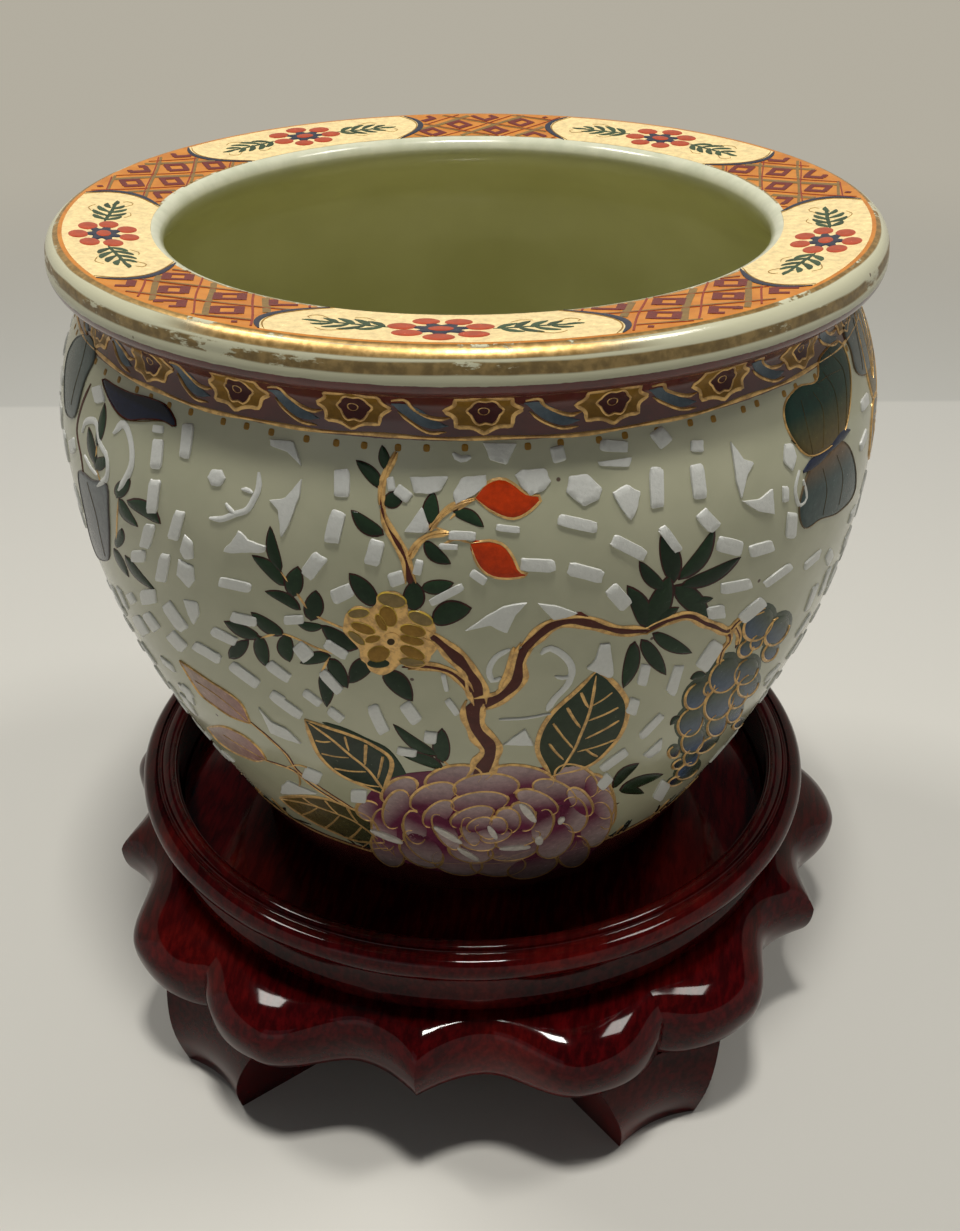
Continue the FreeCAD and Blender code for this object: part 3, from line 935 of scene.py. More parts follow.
def ovalEdge(centre, long, short, angle, corners=20, inner=1.0, squareness=2.0):
    # An oval in pixels with its long half axis at an angle, counted anticlockwise from the
    # right. The half away from that direction may be shallower, and the oval squarer.
    walk = np.linspace(0, 2 * np.pi, corners, endpoint=False)
    u = np.sign(np.cos(walk)) * np.abs(np.cos(walk)) ** (2 / squareness) * long
    v = np.sign(np.sin(walk)) * np.abs(np.sin(walk)) ** (2 / squareness) * short
    u = np.where(u < 0, u * inner, u)
    lean = math.radians(angle)
    x = centre[0] + u * math.cos(lean) - v * math.sin(lean)
    y = centre[1] - u * math.sin(lean) - v * math.cos(lean)
    return np.stack([x, y], 1)


def torn(edge, amount, waves=(3, 5, 8, 11)):
    # Pushes an edge in and out from its middle by a few seeded waves.
    walk = np.linspace(0, 2 * np.pi, len(edge), endpoint=False)
    push = sum(dice.normal() / wave ** 0.5 * np.sin(wave * walk + dice.uniform(0, 6.3)) for wave in waves)
    return edge.mean(0) + (edge - edge.mean(0)) * (1 + amount * push)[:, None]


def stroke(mould, pixels, width, lift, tone=(1, 1, 1), finish=0, swing=0.0, **shape):
    # A ribbon through pixels of the photograph, its width in millimetres.
    ribbon(mould, chartOf(pixels, swing), width, lift, tone, finish, **shape)


def blade(mould, tip, root, width, lift, tone, swing, bend):
    # A leaf in pixels: its half width swells from the root and thins to the tip.
    tip, root = np.asarray(tip, float), np.asarray(root, float)
    share = np.linspace(0.0, 1.0, 11)
    half = share ** leafWork["swell"] * (1 - share) ** leafWork["thin"]
    half = width / 2 * half / half.max() + leafWork["leastHalf"]
    way = (tip - root) / (np.linalg.norm(tip - root) + 1e-6)
    left = np.array([way[1], -way[0]])
    spine = root + (tip - root) * share[:, None]
    spine = spine + left * (bend * np.linalg.norm(tip - root) * np.sin(np.pi * share))[:, None]
    leftEdge = chartOf(spine + left * half[:, None], swing)
    rightEdge = chartOf(spine - left * half[:, None], swing)
    strip(mould, leftEdge, rightEdge, lift, tone)


def shaded(first, second, start, end):
    # A tone that runs from one colour to another between two places of a chart.
    start, end = np.asarray(start), np.asarray(end)
    first, second = np.asarray(first), np.asarray(second)
    scale = np.array([radiusAt(start[1]), 1.0])
    way = (end - start) * scale

    def tone(chart):
        share = np.clip(((chart - start) * scale) @ way / (way @ way), 0, 1)[..., None]
        return first + (second - first) * share ** 0.9

    return tone


def fromLocal(centre, places):
    # Millimetres to the right and up from a centre, as seen from outside, into a chart.
    places = np.asarray(places, float)
    return centre + places / np.array([radiusAt(centre[1]), 1.0])


slipWork = {
    "lift": 0.55, "tear": 0.045,
    # both ends and the width of each straight dab
    "dabs": [
        (342, 469, 342, 497, 16), (339, 511, 331, 543, 16), (378, 540, 371, 565, 16),
        (322, 555, 306, 576, 16), (219, 581, 251, 588, 10), (231, 616, 257, 622, 10),
        (212, 630, 237, 642, 9), (332, 598, 352, 589, 15), (389, 581, 404, 576, 14),
        (496, 527, 520, 530, 7), (448, 535, 476, 536, 9), (439, 546, 458, 547, 6), (471, 572, 486, 582, 9),
        (463, 586, 430, 603, 8), (420, 560, 416, 575, 9), (231, 664, 259, 685, 10),
        (268, 663, 290, 679, 10), (297, 644, 310, 659, 14), (325, 642, 347, 656, 10),
        (322, 671, 341, 692, 10), (284, 620, 304, 619, 9), (200, 649, 220, 657, 7),
        (271, 693, 284, 701, 9), (390, 477, 392, 491, 8), (396, 488, 410, 499, 12),
        (656, 467, 657, 508, 14), (696, 464, 700, 499, 14), (700, 512, 716, 529, 15),
        (717, 543, 742, 549, 16), (749, 552, 773, 545, 12), (558, 519, 597, 528, 12),
        (612, 539, 645, 556, 13), (661, 527, 679, 551, 10), (520, 564, 555, 566, 13),
        (568, 568, 603, 577, 14), (610, 587, 627, 607, 16), (720, 589, 751, 583, 11),
        (764, 585, 791, 565, 7), (740, 620, 764, 600, 11), (707, 613, 725, 611, 13),
        (646, 664, 641, 685, 10), (679, 665, 670, 694, 10), (718, 642, 700, 669, 14),
        (785, 486, 785, 502, 6), (792, 512, 790, 538, 10), (697, 440, 697, 452, 13),
        (273, 695, 302, 716, 9), (304, 691, 321, 704, 8), (329, 709, 343, 720, 9),
        (372, 705, 385, 733, 12), (404, 703, 418, 722, 13), (447, 699, 458, 714, 7),
        (443, 673, 447, 691, 5), (397, 750, 417, 753, 8), (424, 736, 437, 738, 12),
        (304, 771, 321, 779, 12), (351, 795, 367, 796, 13), (662, 714, 640, 737, 7),
        (627, 750, 601, 769, 8), (635, 698, 630, 714, 11), (656, 799, 666, 781, 10),
        (610, 775, 599, 787, 10), (97, 386, 101, 403, 10), (159, 425, 158, 433, 11),
        (159, 439, 156, 469, 11), (156, 479, 152, 513, 11), (189, 423, 185, 458, 11),
        (151, 524, 145, 548, 11), (181, 511, 173, 540, 11), (166, 554, 161, 582, 11),
        (139, 550, 139, 562, 14), (148, 589, 150, 604, 15), (166, 603, 185, 630, 11),
        (146, 613, 158, 630, 9), (136, 616, 147, 635, 8), (129, 593, 135, 603, 6),
        (170, 633, 185, 649, 11), (194, 644, 221, 660, 9), (655, 430, 667, 445, 16),
        (600, 445, 628, 447, 12), (556, 446, 560, 462, 14),
    ],
    # cut pieces and torn lumps
    "pieces": [
        [(270, 500), (286, 497), (302, 479), (301, 494), (290, 522), (281, 540), (279, 510)],
        [(224, 551), (239, 530), (249, 540), (267, 546), (264, 552), (233, 553)],
        [(404, 532), (422, 506), (430, 528), (426, 533)],
        [(410, 477), (449, 476), (442, 490), (429, 494), (414, 493)],
        [(455, 505), (453, 493), (462, 477), (486, 475), (487, 484), (476, 494)],
        [(466, 630), (486, 616), (503, 606), (528, 602), (516, 614), (507, 633), (490, 625)],
        [(538, 603), (555, 605), (579, 613), (562, 618), (553, 620)],
        [(515, 475), (520, 470), (545, 468), (551, 481), (545, 490), (530, 496), (521, 487)],
        [(566, 492), (569, 476), (588, 474), (602, 488), (599, 499), (584, 507)],
        [(612, 492), (627, 484), (640, 492), (638, 506), (631, 521), (620, 508)],
        [(730, 441), (743, 459), (754, 462), (747, 473), (741, 499), (736, 483)],
        [(742, 501), (759, 499), (772, 488), (774, 514), (757, 511)],
        [(600, 643), (610, 643), (614, 675), (609, 678), (586, 668), (595, 659)],
        [(483, 443), (517, 443), (507, 465), (490, 460)], [(598, 462), (632, 457), (629, 467), (599, 466)],
        [(784, 444), (792, 443), (796, 457), (792, 471), (783, 462)],
        [(259, 707), (272, 721), (287, 728), (303, 744), (290, 740), (271, 732)],
        [(282, 785), (288, 780), (318, 793), (281, 793)], [(503, 744), (525, 728), (534, 745)],
        [(642, 755), (662, 737), (661, 749), (649, 758)],
        [(185, 534), (193, 542), (194, 559), (185, 559), (180, 550)],
        [(179, 559), (194, 566), (195, 581), (189, 588), (177, 574)],
        [(184, 599), (198, 602), (200, 614), (194, 625), (189, 614)],
        [(270, 439), (294, 441), (302, 466), (288, 452), (271, 446)],
        [(208, 477), (212, 469), (222, 470), (226, 478), (221, 486), (212, 486)],
    ],
    # width and path of each curled strip
    "curls": [
        (5, [(210, 518), (222, 519), (235, 514), (247, 510), (254, 499), (259, 487), (259, 472)]),
        (4, [(242, 489), (248, 490), (253, 493)]), (4, [(226, 503), (230, 509), (236, 514)]),
        (5, [(510, 649), (496, 657), (489, 670), (493, 681), (501, 677)]),
        (6, [(541, 654), (549, 648), (562, 654), (571, 665), (572, 679)]),
        (6, [(572, 670), (568, 684), (555, 698), (547, 710)]), (4, [(555, 676), (564, 678), (571, 675)]),
        (3, [(499, 719), (525, 718), (551, 713)]),
        (7, [(114, 433), (124, 424), (131, 441), (132, 463), (126, 479), (119, 490)]),
        (6, [(83, 432), (86, 422), (96, 422), (100, 443), (107, 457), (107, 477), (98, 486)]),
        (4, [(85, 455), (92, 469), (98, 475)]), (5, [(453, 453), (460, 459), (471, 457)]),
        (4, [(799, 470), (795, 490), (799, 505), (806, 498), (803, 480)]),
    ],
    # rings of dabs on the sides that the photograph doesn't show, round staggered centres
    "rings": (8, 18, 28, 38), "ringStep": (62, 37), "dabStep": 13.5, "sideMiddle": 9.0, "sideHalf": 44.0,
    "lowest": 108, "highest": 253, "clear": 2.6,
}


def makeSlip():
    # Straight dabs are squared ovals, lumps are smoothed outlines, all with torn edges.
    mould = Mould("slip_dabs", [slip])
    edges = []
    for x0, y0, x1, y1, width in slipWork["dabs"]:
        angle = math.degrees(math.atan2(y0 - y1, x1 - x0))
        long = math.dist((x0, y0), (x1, y1)) / 2
        edge = ovalEdge(((x0 + x1) / 2, (y0 + y1) / 2), long, width / 2, angle, 28, squareness=6)
        edges.append(torn(edge, slipWork["tear"]))
    for corners in slipWork["pieces"]:
        edge = np.concatenate([corners, corners[:1]]).astype(float)
        edges.append(torn(respaced(edge, 3.2)[:-1], slipWork["tear"] * 0.7))
    for edge in edges:
        for swing in swings(edge):
            disc(mould, counterClockwise(chartOf(edge, swing)), slipWork["lift"], spacing=2.6)
    for width, path in slipWork["curls"]:
        for swing in frontAndBack:
            chart = chartOf(path, swing)
            ribbon(mould, chart, width * 0.33, slipWork["lift"] * 0.8, columns=2, tips=(0.4, 0.4))
    mould.make()


def makeSideDabs():
    # Rings of dabs round staggered centres, each dab on the rings of its nearest centre, left
    # out where it would come near anything already laid.
    mould = Mould("side_dabs", [slip])
    belly = runAtHeight(stand["floor"] + pot["bellyHeight"])
    columns, rows = np.meshgrid(np.arange(-3, 4), np.arange(-3, 3), indexing="ij")
    step, rise = slipWork["ringStep"]
    centres = np.stack([(columns + 0.5 * (rows % 2)) * step, rows * rise], -1).reshape(-1, 2)
    placed = np.concatenate(laid)
    half = math.radians(slipWork["sideHalf"])
    floor, top = runAtHeight(slipWork["lowest"]), runAtHeight(slipWork["highest"])
    for swing in frontAndBack:
        middle = np.array([math.radians(slipWork["sideMiddle"]) + swing, belly])
        for centre in centres:
            for radius in slipWork["rings"]:
                count = int(radius * 2 * math.pi / slipWork["dabStep"])
                angles = 2 * np.pi * (np.arange(count) + dice.uniform(-0.1, 0.1, count)) / count
                spots = centre + radius * np.stack([np.cos(angles), np.sin(angles)], 1)
                for angle, spot in zip(angles, spots):
                    nearest = np.linalg.norm(centres - spot, axis=1).min()
                    place = fromLocal(middle, spot)
                    apart = abs(place[0] - middle[0])
                    if nearest < radius - 0.01 or apart > half or not floor < place[1] < top:
                        continue
                    long, wide = dice.uniform(3.4, 5.0), dice.uniform(1.6, 2.3)
                    oval = ovalEdge((0, 0), long, wide, math.degrees(angle) + 90, 24, squareness=6) * [1,
                                                                                                       -1]
                    edge = fromLocal(place, torn(oval, slipWork["tear"]))
                    gap = placed - place
                    gap[:, 0] = (gap[:, 0] + np.pi) % (2 * np.pi) - np.pi
                    gap = gap * [radiusAt(place[1]), 1]
                    close = gap[np.abs(gap).max(1) < 12]
                    around = np.concatenate([oval, [[0, 0]]])
                    reach = np.linalg.norm(close[:, None] - around, axis=-1)
                    if len(close) and reach.min() < slipWork["clear"]:
                        continue
                    disc(mould, counterClockwise(edge), slipWork["lift"], spacing=2.6)
    mould.make()


leafWork = {
    "lift": 0.28, "edgeLift": 0.16, "edgeWide": 1.12, "faceWide": 0.94, "inset": 0.04,
    "swell": 0.62, "thin": 0.8, "leastHalf": 0.25,
    # tip, root and width of each dark leaf
    "sprays": [
        (356, 460, 382, 488, 12), (382, 445, 388, 471, 10), (404, 493, 384, 505, 15),
        (351, 510, 384, 535, 14), (433, 491, 434, 527, 15), (484, 527, 453, 511, 12),
        (451, 564, 424, 541, 13), (270, 526, 281, 572, 11), (252, 555, 285, 586, 12),
        (298, 566, 293, 597, 17), (265, 591, 301, 610, 10), (316, 590, 311, 621, 18),
        (349, 573, 377, 606, 17), (413, 580, 414, 611, 20), (454, 583, 421, 588, 13),
        (472, 608, 431, 621, 21), (224, 621, 260, 638, 11), (251, 612, 284, 635, 12),
        (249, 640, 229, 658, 13), (267, 667, 258, 635, 13), (290, 662, 285, 634, 15),
        (296, 622, 323, 627, 8), (321, 625, 358, 649, 15), (300, 663, 331, 656, 11),
        (348, 688, 329, 658, 14), (327, 707, 322, 673, 13), (349, 683, 373, 659, 17),
        (413, 701, 383, 671, 18), (393, 724, 438, 756, 10), (442, 728, 443, 763, 16),
        (401, 754, 444, 768, 10),
    ],
    "bamboo": [
        (662, 532, 674, 583, 19), (715, 528, 678, 580, 14), (741, 557, 679, 587, 13),
        (639, 561, 665, 590, 13), (627, 585, 646, 628, 17), (671, 574, 645, 631, 21),
        (709, 618, 674, 585, 20), (713, 598, 690, 604, 7), (679, 607, 651, 629, 11),
        (623, 688, 635, 641, 14), (666, 675, 641, 639, 14), (692, 653, 652, 633, 13),
        (639, 763, 612, 788, 9), (663, 774, 619, 790, 9), (644, 793, 619, 790, 8), (690, 679, 706, 674, 7),
        (670, 725, 680, 716, 5), (716, 742, 696, 749, 8), (674, 766, 679, 763, 5), (670, 782, 679, 778, 6),
    ],
    "left": [
        (105, 403, 97, 446, 7), (89, 427, 96, 465, 7), (107, 457, 96, 470, 11), (130, 478, 117, 498, 12),
        (161, 524, 127, 500, 13), (138, 527, 119, 498, 9), (155, 590, 125, 555, 7), (122, 528, 117, 548, 8),
        (129, 577, 114, 548, 6),
    ],
    "stems": [
        [(382, 488), (384, 505), (385, 520), (381, 501)],
        [(281, 572), (296, 592), (311, 612), (335, 625), (360, 634)],
        [(260, 638), (284, 634), (322, 650), (345, 655)], [(330, 656), (322, 673), (323, 690)],
        [(438, 756), (456, 772)], [(450, 533), (434, 527)], [(97, 446), (96, 465), (100, 480)],
        [(119, 498), (117, 520), (117, 548)], [(450, 519), (462, 507), (475, 499)],
        [(440, 547), (455, 539), (470, 543)],
    ],
    # outline and hollow side of each red leaf
    "red": [
        [(475, 498), (486, 484), (501, 479), (513, 484), (526, 494), (541, 497), (535, 506), (523, 515),
         (510, 518), (492, 511)],
        [(470, 543), (490, 541), (504, 546), (513, 558), (519, 571), (528, 575), (507, 578), (490, 575),
         (478, 564)],
    ],
}


def makeLeaves():
    leaves = Mould("dark_leaves", [enamel])
    stems = Mould("leaf_stems", [gold, enamel])
    red = Mould("red_leaves", [enamel, gold])
    dark = np.array(paint["leaf"])
    for x0, y0, x1, y1, width in leafWork["sprays"] + leafWork["bamboo"] + leafWork["left"]:
        for swing in swings([(x0, y0), (x1, y1)]):
            bend = dice.uniform(-0.09, 0.09)
            tone = dark * dice.uniform(0.75, 1.35)
            tip, root = np.array([x0, y0]), np.array([x1, y1])
            inset = (tip - root) * leafWork["inset"]
            blade(leaves, tip, root, width * leafWork["edgeWide"], leafWork["edgeLift"],
                  paint["leafEdge"], swing, bend)
            blade(leaves, tip - inset, root + inset, width * leafWork["faceWide"], leafWork["lift"],
                  tone, swing, bend)
    for path in leafWork["stems"]:
        for swing in swings(path):
            stroke(stems, path, 0.7, 0.2, swing=swing)
    for swing in frontAndBack:
        for edge in leafWork["red"]:
            disc(red, smoothEdge(edge, swing, 1.6), 0.3, paint["red"])
            ribbon(red, chartOf(edge + edge[:1], swing), 1.0, 0.36, finish=1)
    for mould in (leaves, stems, red):
        mould.make()


veinedWork = {
    "leaves": [
        {"left": [(305, 719), (312, 740), (320, 756), (335, 771), (355, 782), (383, 793)],
         "right": [(305, 719), (327, 727), (351, 735), (373, 745), (392, 762), (383, 793)],
         "middle": [(309, 722), (331, 738), (351, 755), (369, 770), (384, 790)],
         "veins": [(316, 740, 331, 741), (322, 753, 349, 757), (335, 768, 366, 771), (355, 781, 380, 786),
                   (345, 736, 349, 750), (366, 744, 365, 764), (383, 756, 378, 778)],
         "tones": [(0.030, 0.036, 0.020), (0.022, 0.040, 0.028)]},
        {"left": [(596, 671), (577, 690), (553, 712), (540, 733), (538, 753), (551, 775)],
         "right": [(596, 671), (612, 681), (627, 702), (624, 727), (610, 748), (588, 766), (551, 775)],
         "middle": [(596, 675), (590, 709), (581, 733), (574, 749), (560, 771)],
         "veins": [(581, 692, 588, 707), (567, 707, 580, 727), (553, 723, 573, 748), (549, 743, 563, 759),
                   (612, 692, 592, 705), (618, 707, 588, 720), (619, 720, 585, 738), (616, 739, 577, 751),
                   (597, 756, 585, 748)],
         "tones": [(0.022, 0.045, 0.026), (0.030, 0.040, 0.018)]},
        {"left": [(280, 797), (292, 808), (314, 822), (339, 834), (359, 841), (385, 842)],
         "right": [(280, 797), (302, 796), (327, 799), (351, 808), (372, 819), (385, 842)],
         "middle": [(282, 798), (306, 803), (331, 811), (355, 821), (378, 838)],
         "veins": [(303, 797, 318, 806), (325, 800, 338, 813), (347, 807, 358, 822), (303, 814, 318, 807),
                   (325, 828, 340, 815), (350, 838, 362, 826)],
         "tones": [(0.13, 0.085, 0.022), (0.028, 0.036, 0.020)]},
    ],
    "backing": [(322, 722), (343, 727), (367, 738), (391, 751), (408, 780), (392, 790), (396, 765),
                (370, 742)],
}


def makeVeinedLeaves():
    # Each leaf spans its two edges in chart space and carries gold veins and a gold edge.
    mould = Mould("veined_leaves", [enamel, gold])
    for swing in frontAndBack:
        disc(mould, smoothEdge(veinedWork["backing"], swing, 2), 0.16, paint["leaf"])
        for leaf in veinedWork["leaves"]:
            edges = bothEdges(leaf, swing, 24)
            start, end = edges[0][0], edges[0][-1]
            tone = shaded(*leaf["tones"], start, end)
            first, second = edges[1][::-1], edges[0][::-1]
            if np.cross((start - end) * [100, 1], (first[12] - second[12]) * [100, 1]) > 0:
                first, second = second, first
            strip(mould, second, first, 0.26, tone, columns=7)
            for key, width in (("left", 1.55), ("right", 1.55), ("middle", 1.35)):
                stroke(mould, leaf[key], width * dice.uniform(0.9, 1.15), 0.48, finish=1, swing=swing)
            for x0, y0, x1, y1 in leaf["veins"]:
                stroke(mould, [(x0, y0), ((x0 + x1) / 2, (y0 + y1) / 2 + 1), (x1, y1)],
                       dice.uniform(0.95, 1.35), 0.44, finish=1, swing=swing, tips=(0.6, 0.4))
    mould.make()


branchWork = {
    # widths in pixels along a path
    "limbs": [
        ([26, 22, 19, 19, 20], [(476, 777), (490, 755), (484, 738), (472, 719), (478, 698)]),
        ([18, 17, 16, 14, 9], [(480, 704), (474, 680), (465, 666), (451, 652), (435, 638), (420, 631)]),
        ([8, 8, 7, 6], [(470, 692), (463, 681), (449, 671), (424, 666), (402, 667)]),
        ([18, 18, 15, 13], [(478, 704), (501, 696), (516, 681), (519, 662), (527, 644)]),
        ([14, 13, 12, 10, 8], [(525, 648), (534, 638), (552, 626), (573, 620), (599, 626), (625, 631),
                               (648, 631)]),
        ([8, 8, 8, 7, 5], [(646, 631), (668, 620), (688, 616), (709, 624), (727, 631), (740, 619),
                           (764, 609)]),
        ([7, 6, 4], [(727, 631), (730, 640), (722, 650), (718, 664)]),
        ([5, 4], [(735, 626), (739, 638), (735, 648)]),
        ([10, 8, 6, 4], [(411, 583), (406, 560), (397, 542), (385, 520), (381, 503)]),
        ([4, 3, 3], [(381, 505), (382, 489), (386, 473), (397, 452)]),
        ([3, 3, 2], [(408, 560), (416, 546), (430, 535), (449, 533)]),
        ([3, 2], [(429, 530), (441, 516), (455, 505), (475, 499)]),
    ],
    "wedges": [[(573, 621), (578, 611), (590, 617), (607, 624), (590, 626)]],
    "goldStub": [(499, 690), (507, 672), (512, 655), (514, 647)],
    "goldEdge": 0.34, "leastEdge": 1.15,
}


def makeBranches():
    # Brown limbs with broad gold lines along both edges.
    mould = Mould("branches", [enamel, gold])
    for swing in frontAndBack:
        for widths, path in branchWork["limbs"]:
            chart = chartOf(path, swing)
            size = pixelSize(chartOf(path))
            width = np.array(widths, float) * size
            ribbon(mould, chart, width, 0.30, paint["bark"], columns=3, tips=(0.6, 0.2))
            even = smoothPath(chart, 1.5)
            side, scale = sideways(even)
            full = np.interp(np.linspace(0, 1, len(even)), np.linspace(0, 1, len(width)), width)
            for hand in (-1, 1):
                wander = 0.10 * ripple(len(even), 0.7)
                edge = even + hand * side * (full * (0.45 + wander))[:, None] / scale
                thick = np.maximum(branchWork["leastEdge"], full * branchWork["goldEdge"])
                thick = thick * (1 + 0.25 * ripple(len(even), 0.9))
                ribbon(mould, edge[::2], thick, 0.52, finish=1)
        for edge in branchWork["wedges"]:
            disc(mould, smoothEdge(edge, swing, 1.5), 0.3, paint["bark"])
        stroke(mould, branchWork["goldStub"], 1.5, 0.55, finish=1, swing=swing)
    mould.make()


blossomWork = {
    "origin": (330, 560), "zoom": 11.2,
    "ground": [
        (150, 740), (180, 600), (300, 510), (450, 540), (520, 460), (530, 390), (660, 345), (800, 380),
        (870, 500), (880, 600), (1000, 560), (1130, 640), (1190, 800), (1130, 870), (1200, 990),
        (1140, 1060), (1100, 1160), (1000, 1210), (880, 1205), (790, 1160), (730, 1220), (600, 1290),
        (450, 1240), (400, 1160), (335, 1100), (330, 1000), (240, 900), (150, 800)],
    # centre, half axes and lean of the petals behind and in front
    "behind": [
        (325, 590, 120, 52, 5), (695, 445, 160, 78, -12), (1015, 650, 145, 66, -22),
        (920, 1135, 145, 46, -6), (300, 865, 118, 38, -38)],
    "shade": [(545, 1150, 125, 50, 0)],
    "front": [
        (375, 755, 142, 52, -20), (655, 620, 125, 88, -62), (575, 690, 108, 44, -60),
        (930, 782, 145, 66, -12), (918, 892, 140, 44, -14), (925, 1030, 148, 56, -24),
        (548, 1042, 122, 86, 10), (482, 878, 86, 36, 12)],
    "hub": [(690, 895, 105, 92, 0)], "eye": [(688, 900, 44, 36, 0)],
    # list, tone, lift, height of its foot, width of its outline and finish of each coat
    "coats": [
        ("behind", paint["paleOchre"], 0.1, 0.34, 0.6, 0), ("shade", paint["leaf"], 0.08, 0.34, 0, 0),
        ("front", paint["ochre"], 0.16, 0.36, 0.5, 0), ("hub", (1, 1, 1), 0.3, 0.36, 0, 1),
        ("eye", (0.05, 0.03, 0.01), 0.1, 0.66, 0, 0)],
}


def makeBlossom():
    # A raised gold ground carries pale back petals, ochre front petals and a ringed hub.
    mould = Mould("yellow_blossom", [enamel, gold])
    origin, zoom = np.array(blossomWork["origin"]), blossomWork["zoom"]
    ground = origin + np.array(blossomWork["ground"]) / zoom
    for swing in swings(ground):
        disc(mould, smoothEdge(ground, swing, 1.4), 0.34, finish=1)
        for key, tone, lift, base, line, finish in blossomWork["coats"]:
            for x, y, long, short, lean in blossomWork[key]:
                edge = origin + ovalEdge((x, y), long, short, lean, 22) / zoom
                chart = counterClockwise(chartOf(edge, swing))
                disc(mould, chart, lift, tone, finish, spacing=2.0, base=base)
                if line:
                    ribbon(mould, chart, line, lift + base + 0.06, paint["yellow"], step=1.0, closed=True)
    mould.make()


peonyWork = {
    "origin": (350, 760), "zoom": 5.407,
    # centre, half length outwards, half width and outward lean, from the back row to the heart
    "rows": [
        [(560, 100, 62, 135, 100), (930, 92, 55, 150, 82), (1222, 112, 72, 110, 62),
         (1345, 195, 66, 110, 22), (1375, 262, 52, 95, 5), (268, 165, 56, 92, 118),
         (105, 272, 60, 46, 165), (190, 372, 62, 100, 188), (205, 480, 62, 95, 222),
         (385, 500, 58, 110, 245), (580, 548, 60, 120, 258), (800, 560, 58, 130, 270),
         (985, 572, 52, 120, 284), (1205, 490, 70, 80, 318), (1325, 345, 72, 110, 342)],
        [(735, 145, 66, 155, 94), (1105, 175, 56, 110, 66), (450, 195, 60, 115, 112),
         (255, 262, 62, 95, 160), (355, 358, 56, 80, 196), (400, 462, 52, 110, 232),
         (655, 490, 52, 105, 262), (880, 480, 50, 120, 278), (1105, 430, 70, 100, 312),
         (1205, 290, 66, 85, 8), (1240, 222, 46, 80, 40)],
        [(700, 225, 52, 135, 96), (1010, 222, 48, 105, 66), (480, 285, 50, 85, 128),
         (520, 380, 44, 100, 215), (690, 435, 40, 90, 262), (905, 420, 38, 110, 284),
         (1035, 345, 50, 80, 340), (930, 300, 62, 70, 30)],
        [(660, 300, 46, 105, 108), (850, 320, 60, 60, 40), (655, 375, 42, 70, 200),
         (790, 395, 34, 75, 285)],
        [(700, 340, 34, 62, 110), (800, 345, 40, 44, 50), (730, 375, 28, 52, 240)],
    ],
    "ground": [(60, 260), (120, 160), (230, 90), (420, 60), (700, 50), (1000, 40), (1250, 60), (1400, 150),
               (1440, 270), (1390, 400), (1290, 520), (1060, 610), (820, 630), (560, 620), (360, 570),
               (180, 520), (90, 420), (50, 330)],
    "whites": [(770, 380, 44, 16, -55), (960, 275, 66, 20, -48), (530, 395, 90, 15, -30),
               (890, 465, 85, 11, 3), (200, 405, 95, 13, -22), (640, 500, 70, 12, -30),
               (1140, 318, 24, 12, 45), (1020, 425, 24, 22, 60)],
    "deep": (0.135, 0.026, 0.060), "pale": (0.44, 0.33, 0.33), "step": 0.13, "swell": 1.14,
}


def makePeony():
    # Petals overlap in rows that rise towards the heart. Each is painted from deep magenta at
    # its foot to a pale edge, and a gold line follows its outer half.
    mould = Mould("peony", [enamel, gold])
    origin, zoom = np.array(peonyWork["origin"]), peonyWork["zoom"]
    for swing in frontAndBack:
        ground = counterClockwise(chartOf(origin + np.array(peonyWork["ground"]) / zoom, swing))
        disc(mould, smoothPath(ground, 2.0, closed=True), 0.2, peonyWork["deep"], spacing=2.6)
        for row, petals in enumerate(peonyWork["rows"]):
            for x, y, long, wide, lean in petals:
                long, wide = long * peonyWork["swell"], wide * peonyWork["swell"]
                centre = origin + np.array([x, y]) / zoom
                edge = ovalEdge(centre, long / zoom, wide / zoom, lean, 26, inner=0.9)
                chart = chartOf(edge, swing)
                outwards = math.radians(lean)
                way = np.array([math.cos(outwards), -math.sin(outwards)]) * long / zoom
                foot, lip = chartOf(np.stack([centre - way * 0.7, centre + way * 0.9]), swing)
                tone = shaded(np.array(peonyWork["deep"]) * dice.uniform(0.8, 1.2),
                              np.array(peonyWork["pale"]) * dice.uniform(0.75, 1.0), foot, lip)
                base = row * peonyWork["step"] + dice.uniform(0, 0.05)
                disc(mould, counterClockwise(chart), 0.24, tone, spacing=2.4, base=base)
                outer = np.roll(chart, 9, axis=0)[:19]
                ribbon(mould, outer, dice.uniform(1.05, 1.45), base + 0.42, finish=1, step=1.2)
        for x, y, long, short, lean in peonyWork["whites"]:
            edge = ovalEdge(origin + np.array([x, y]) / zoom, long / zoom, short / zoom, lean, 18)
            disc(mould, counterClockwise(chartOf(edge, swing)), 0.3, (0.62, 0.58, 0.54), base=0.7)
    mould.make()


budWork = {
    "buds": [
        {"left": [(180, 660), (189, 676), (201, 694), (216, 706), (233, 717), (251, 723)],
         "right": [(180, 660), (196, 671), (212, 682), (228, 692), (242, 704), (251, 723)]},
        {"left": [(208, 727), (218, 740), (231, 750), (246, 757), (258, 761), (267, 759)],
         "right": [(208, 727), (222, 726), (236, 731), (248, 738), (260, 749), (267, 759)]},
    ],
    "innerLines": [[(196, 680), (214, 692), (232, 706), (250, 722)], [(224, 734), (240, 744), (266, 759)]],
    "stems": [[(251, 722), (267, 736), (286, 754), (298, 771), (327, 792), (356, 810)],
              [(266, 760), (286, 767), (296, 772), (314, 787), (343, 805)]],
    "sprigs": [[(286, 767), (300, 765), (318, 772)], [(298, 771), (300, 784), (294, 793)]],
    "pink": (0.34, 0.17, 0.16), "blush": (0.42, 0.33, 0.28), "tip": (0.26, 0.15, 0.05),
}


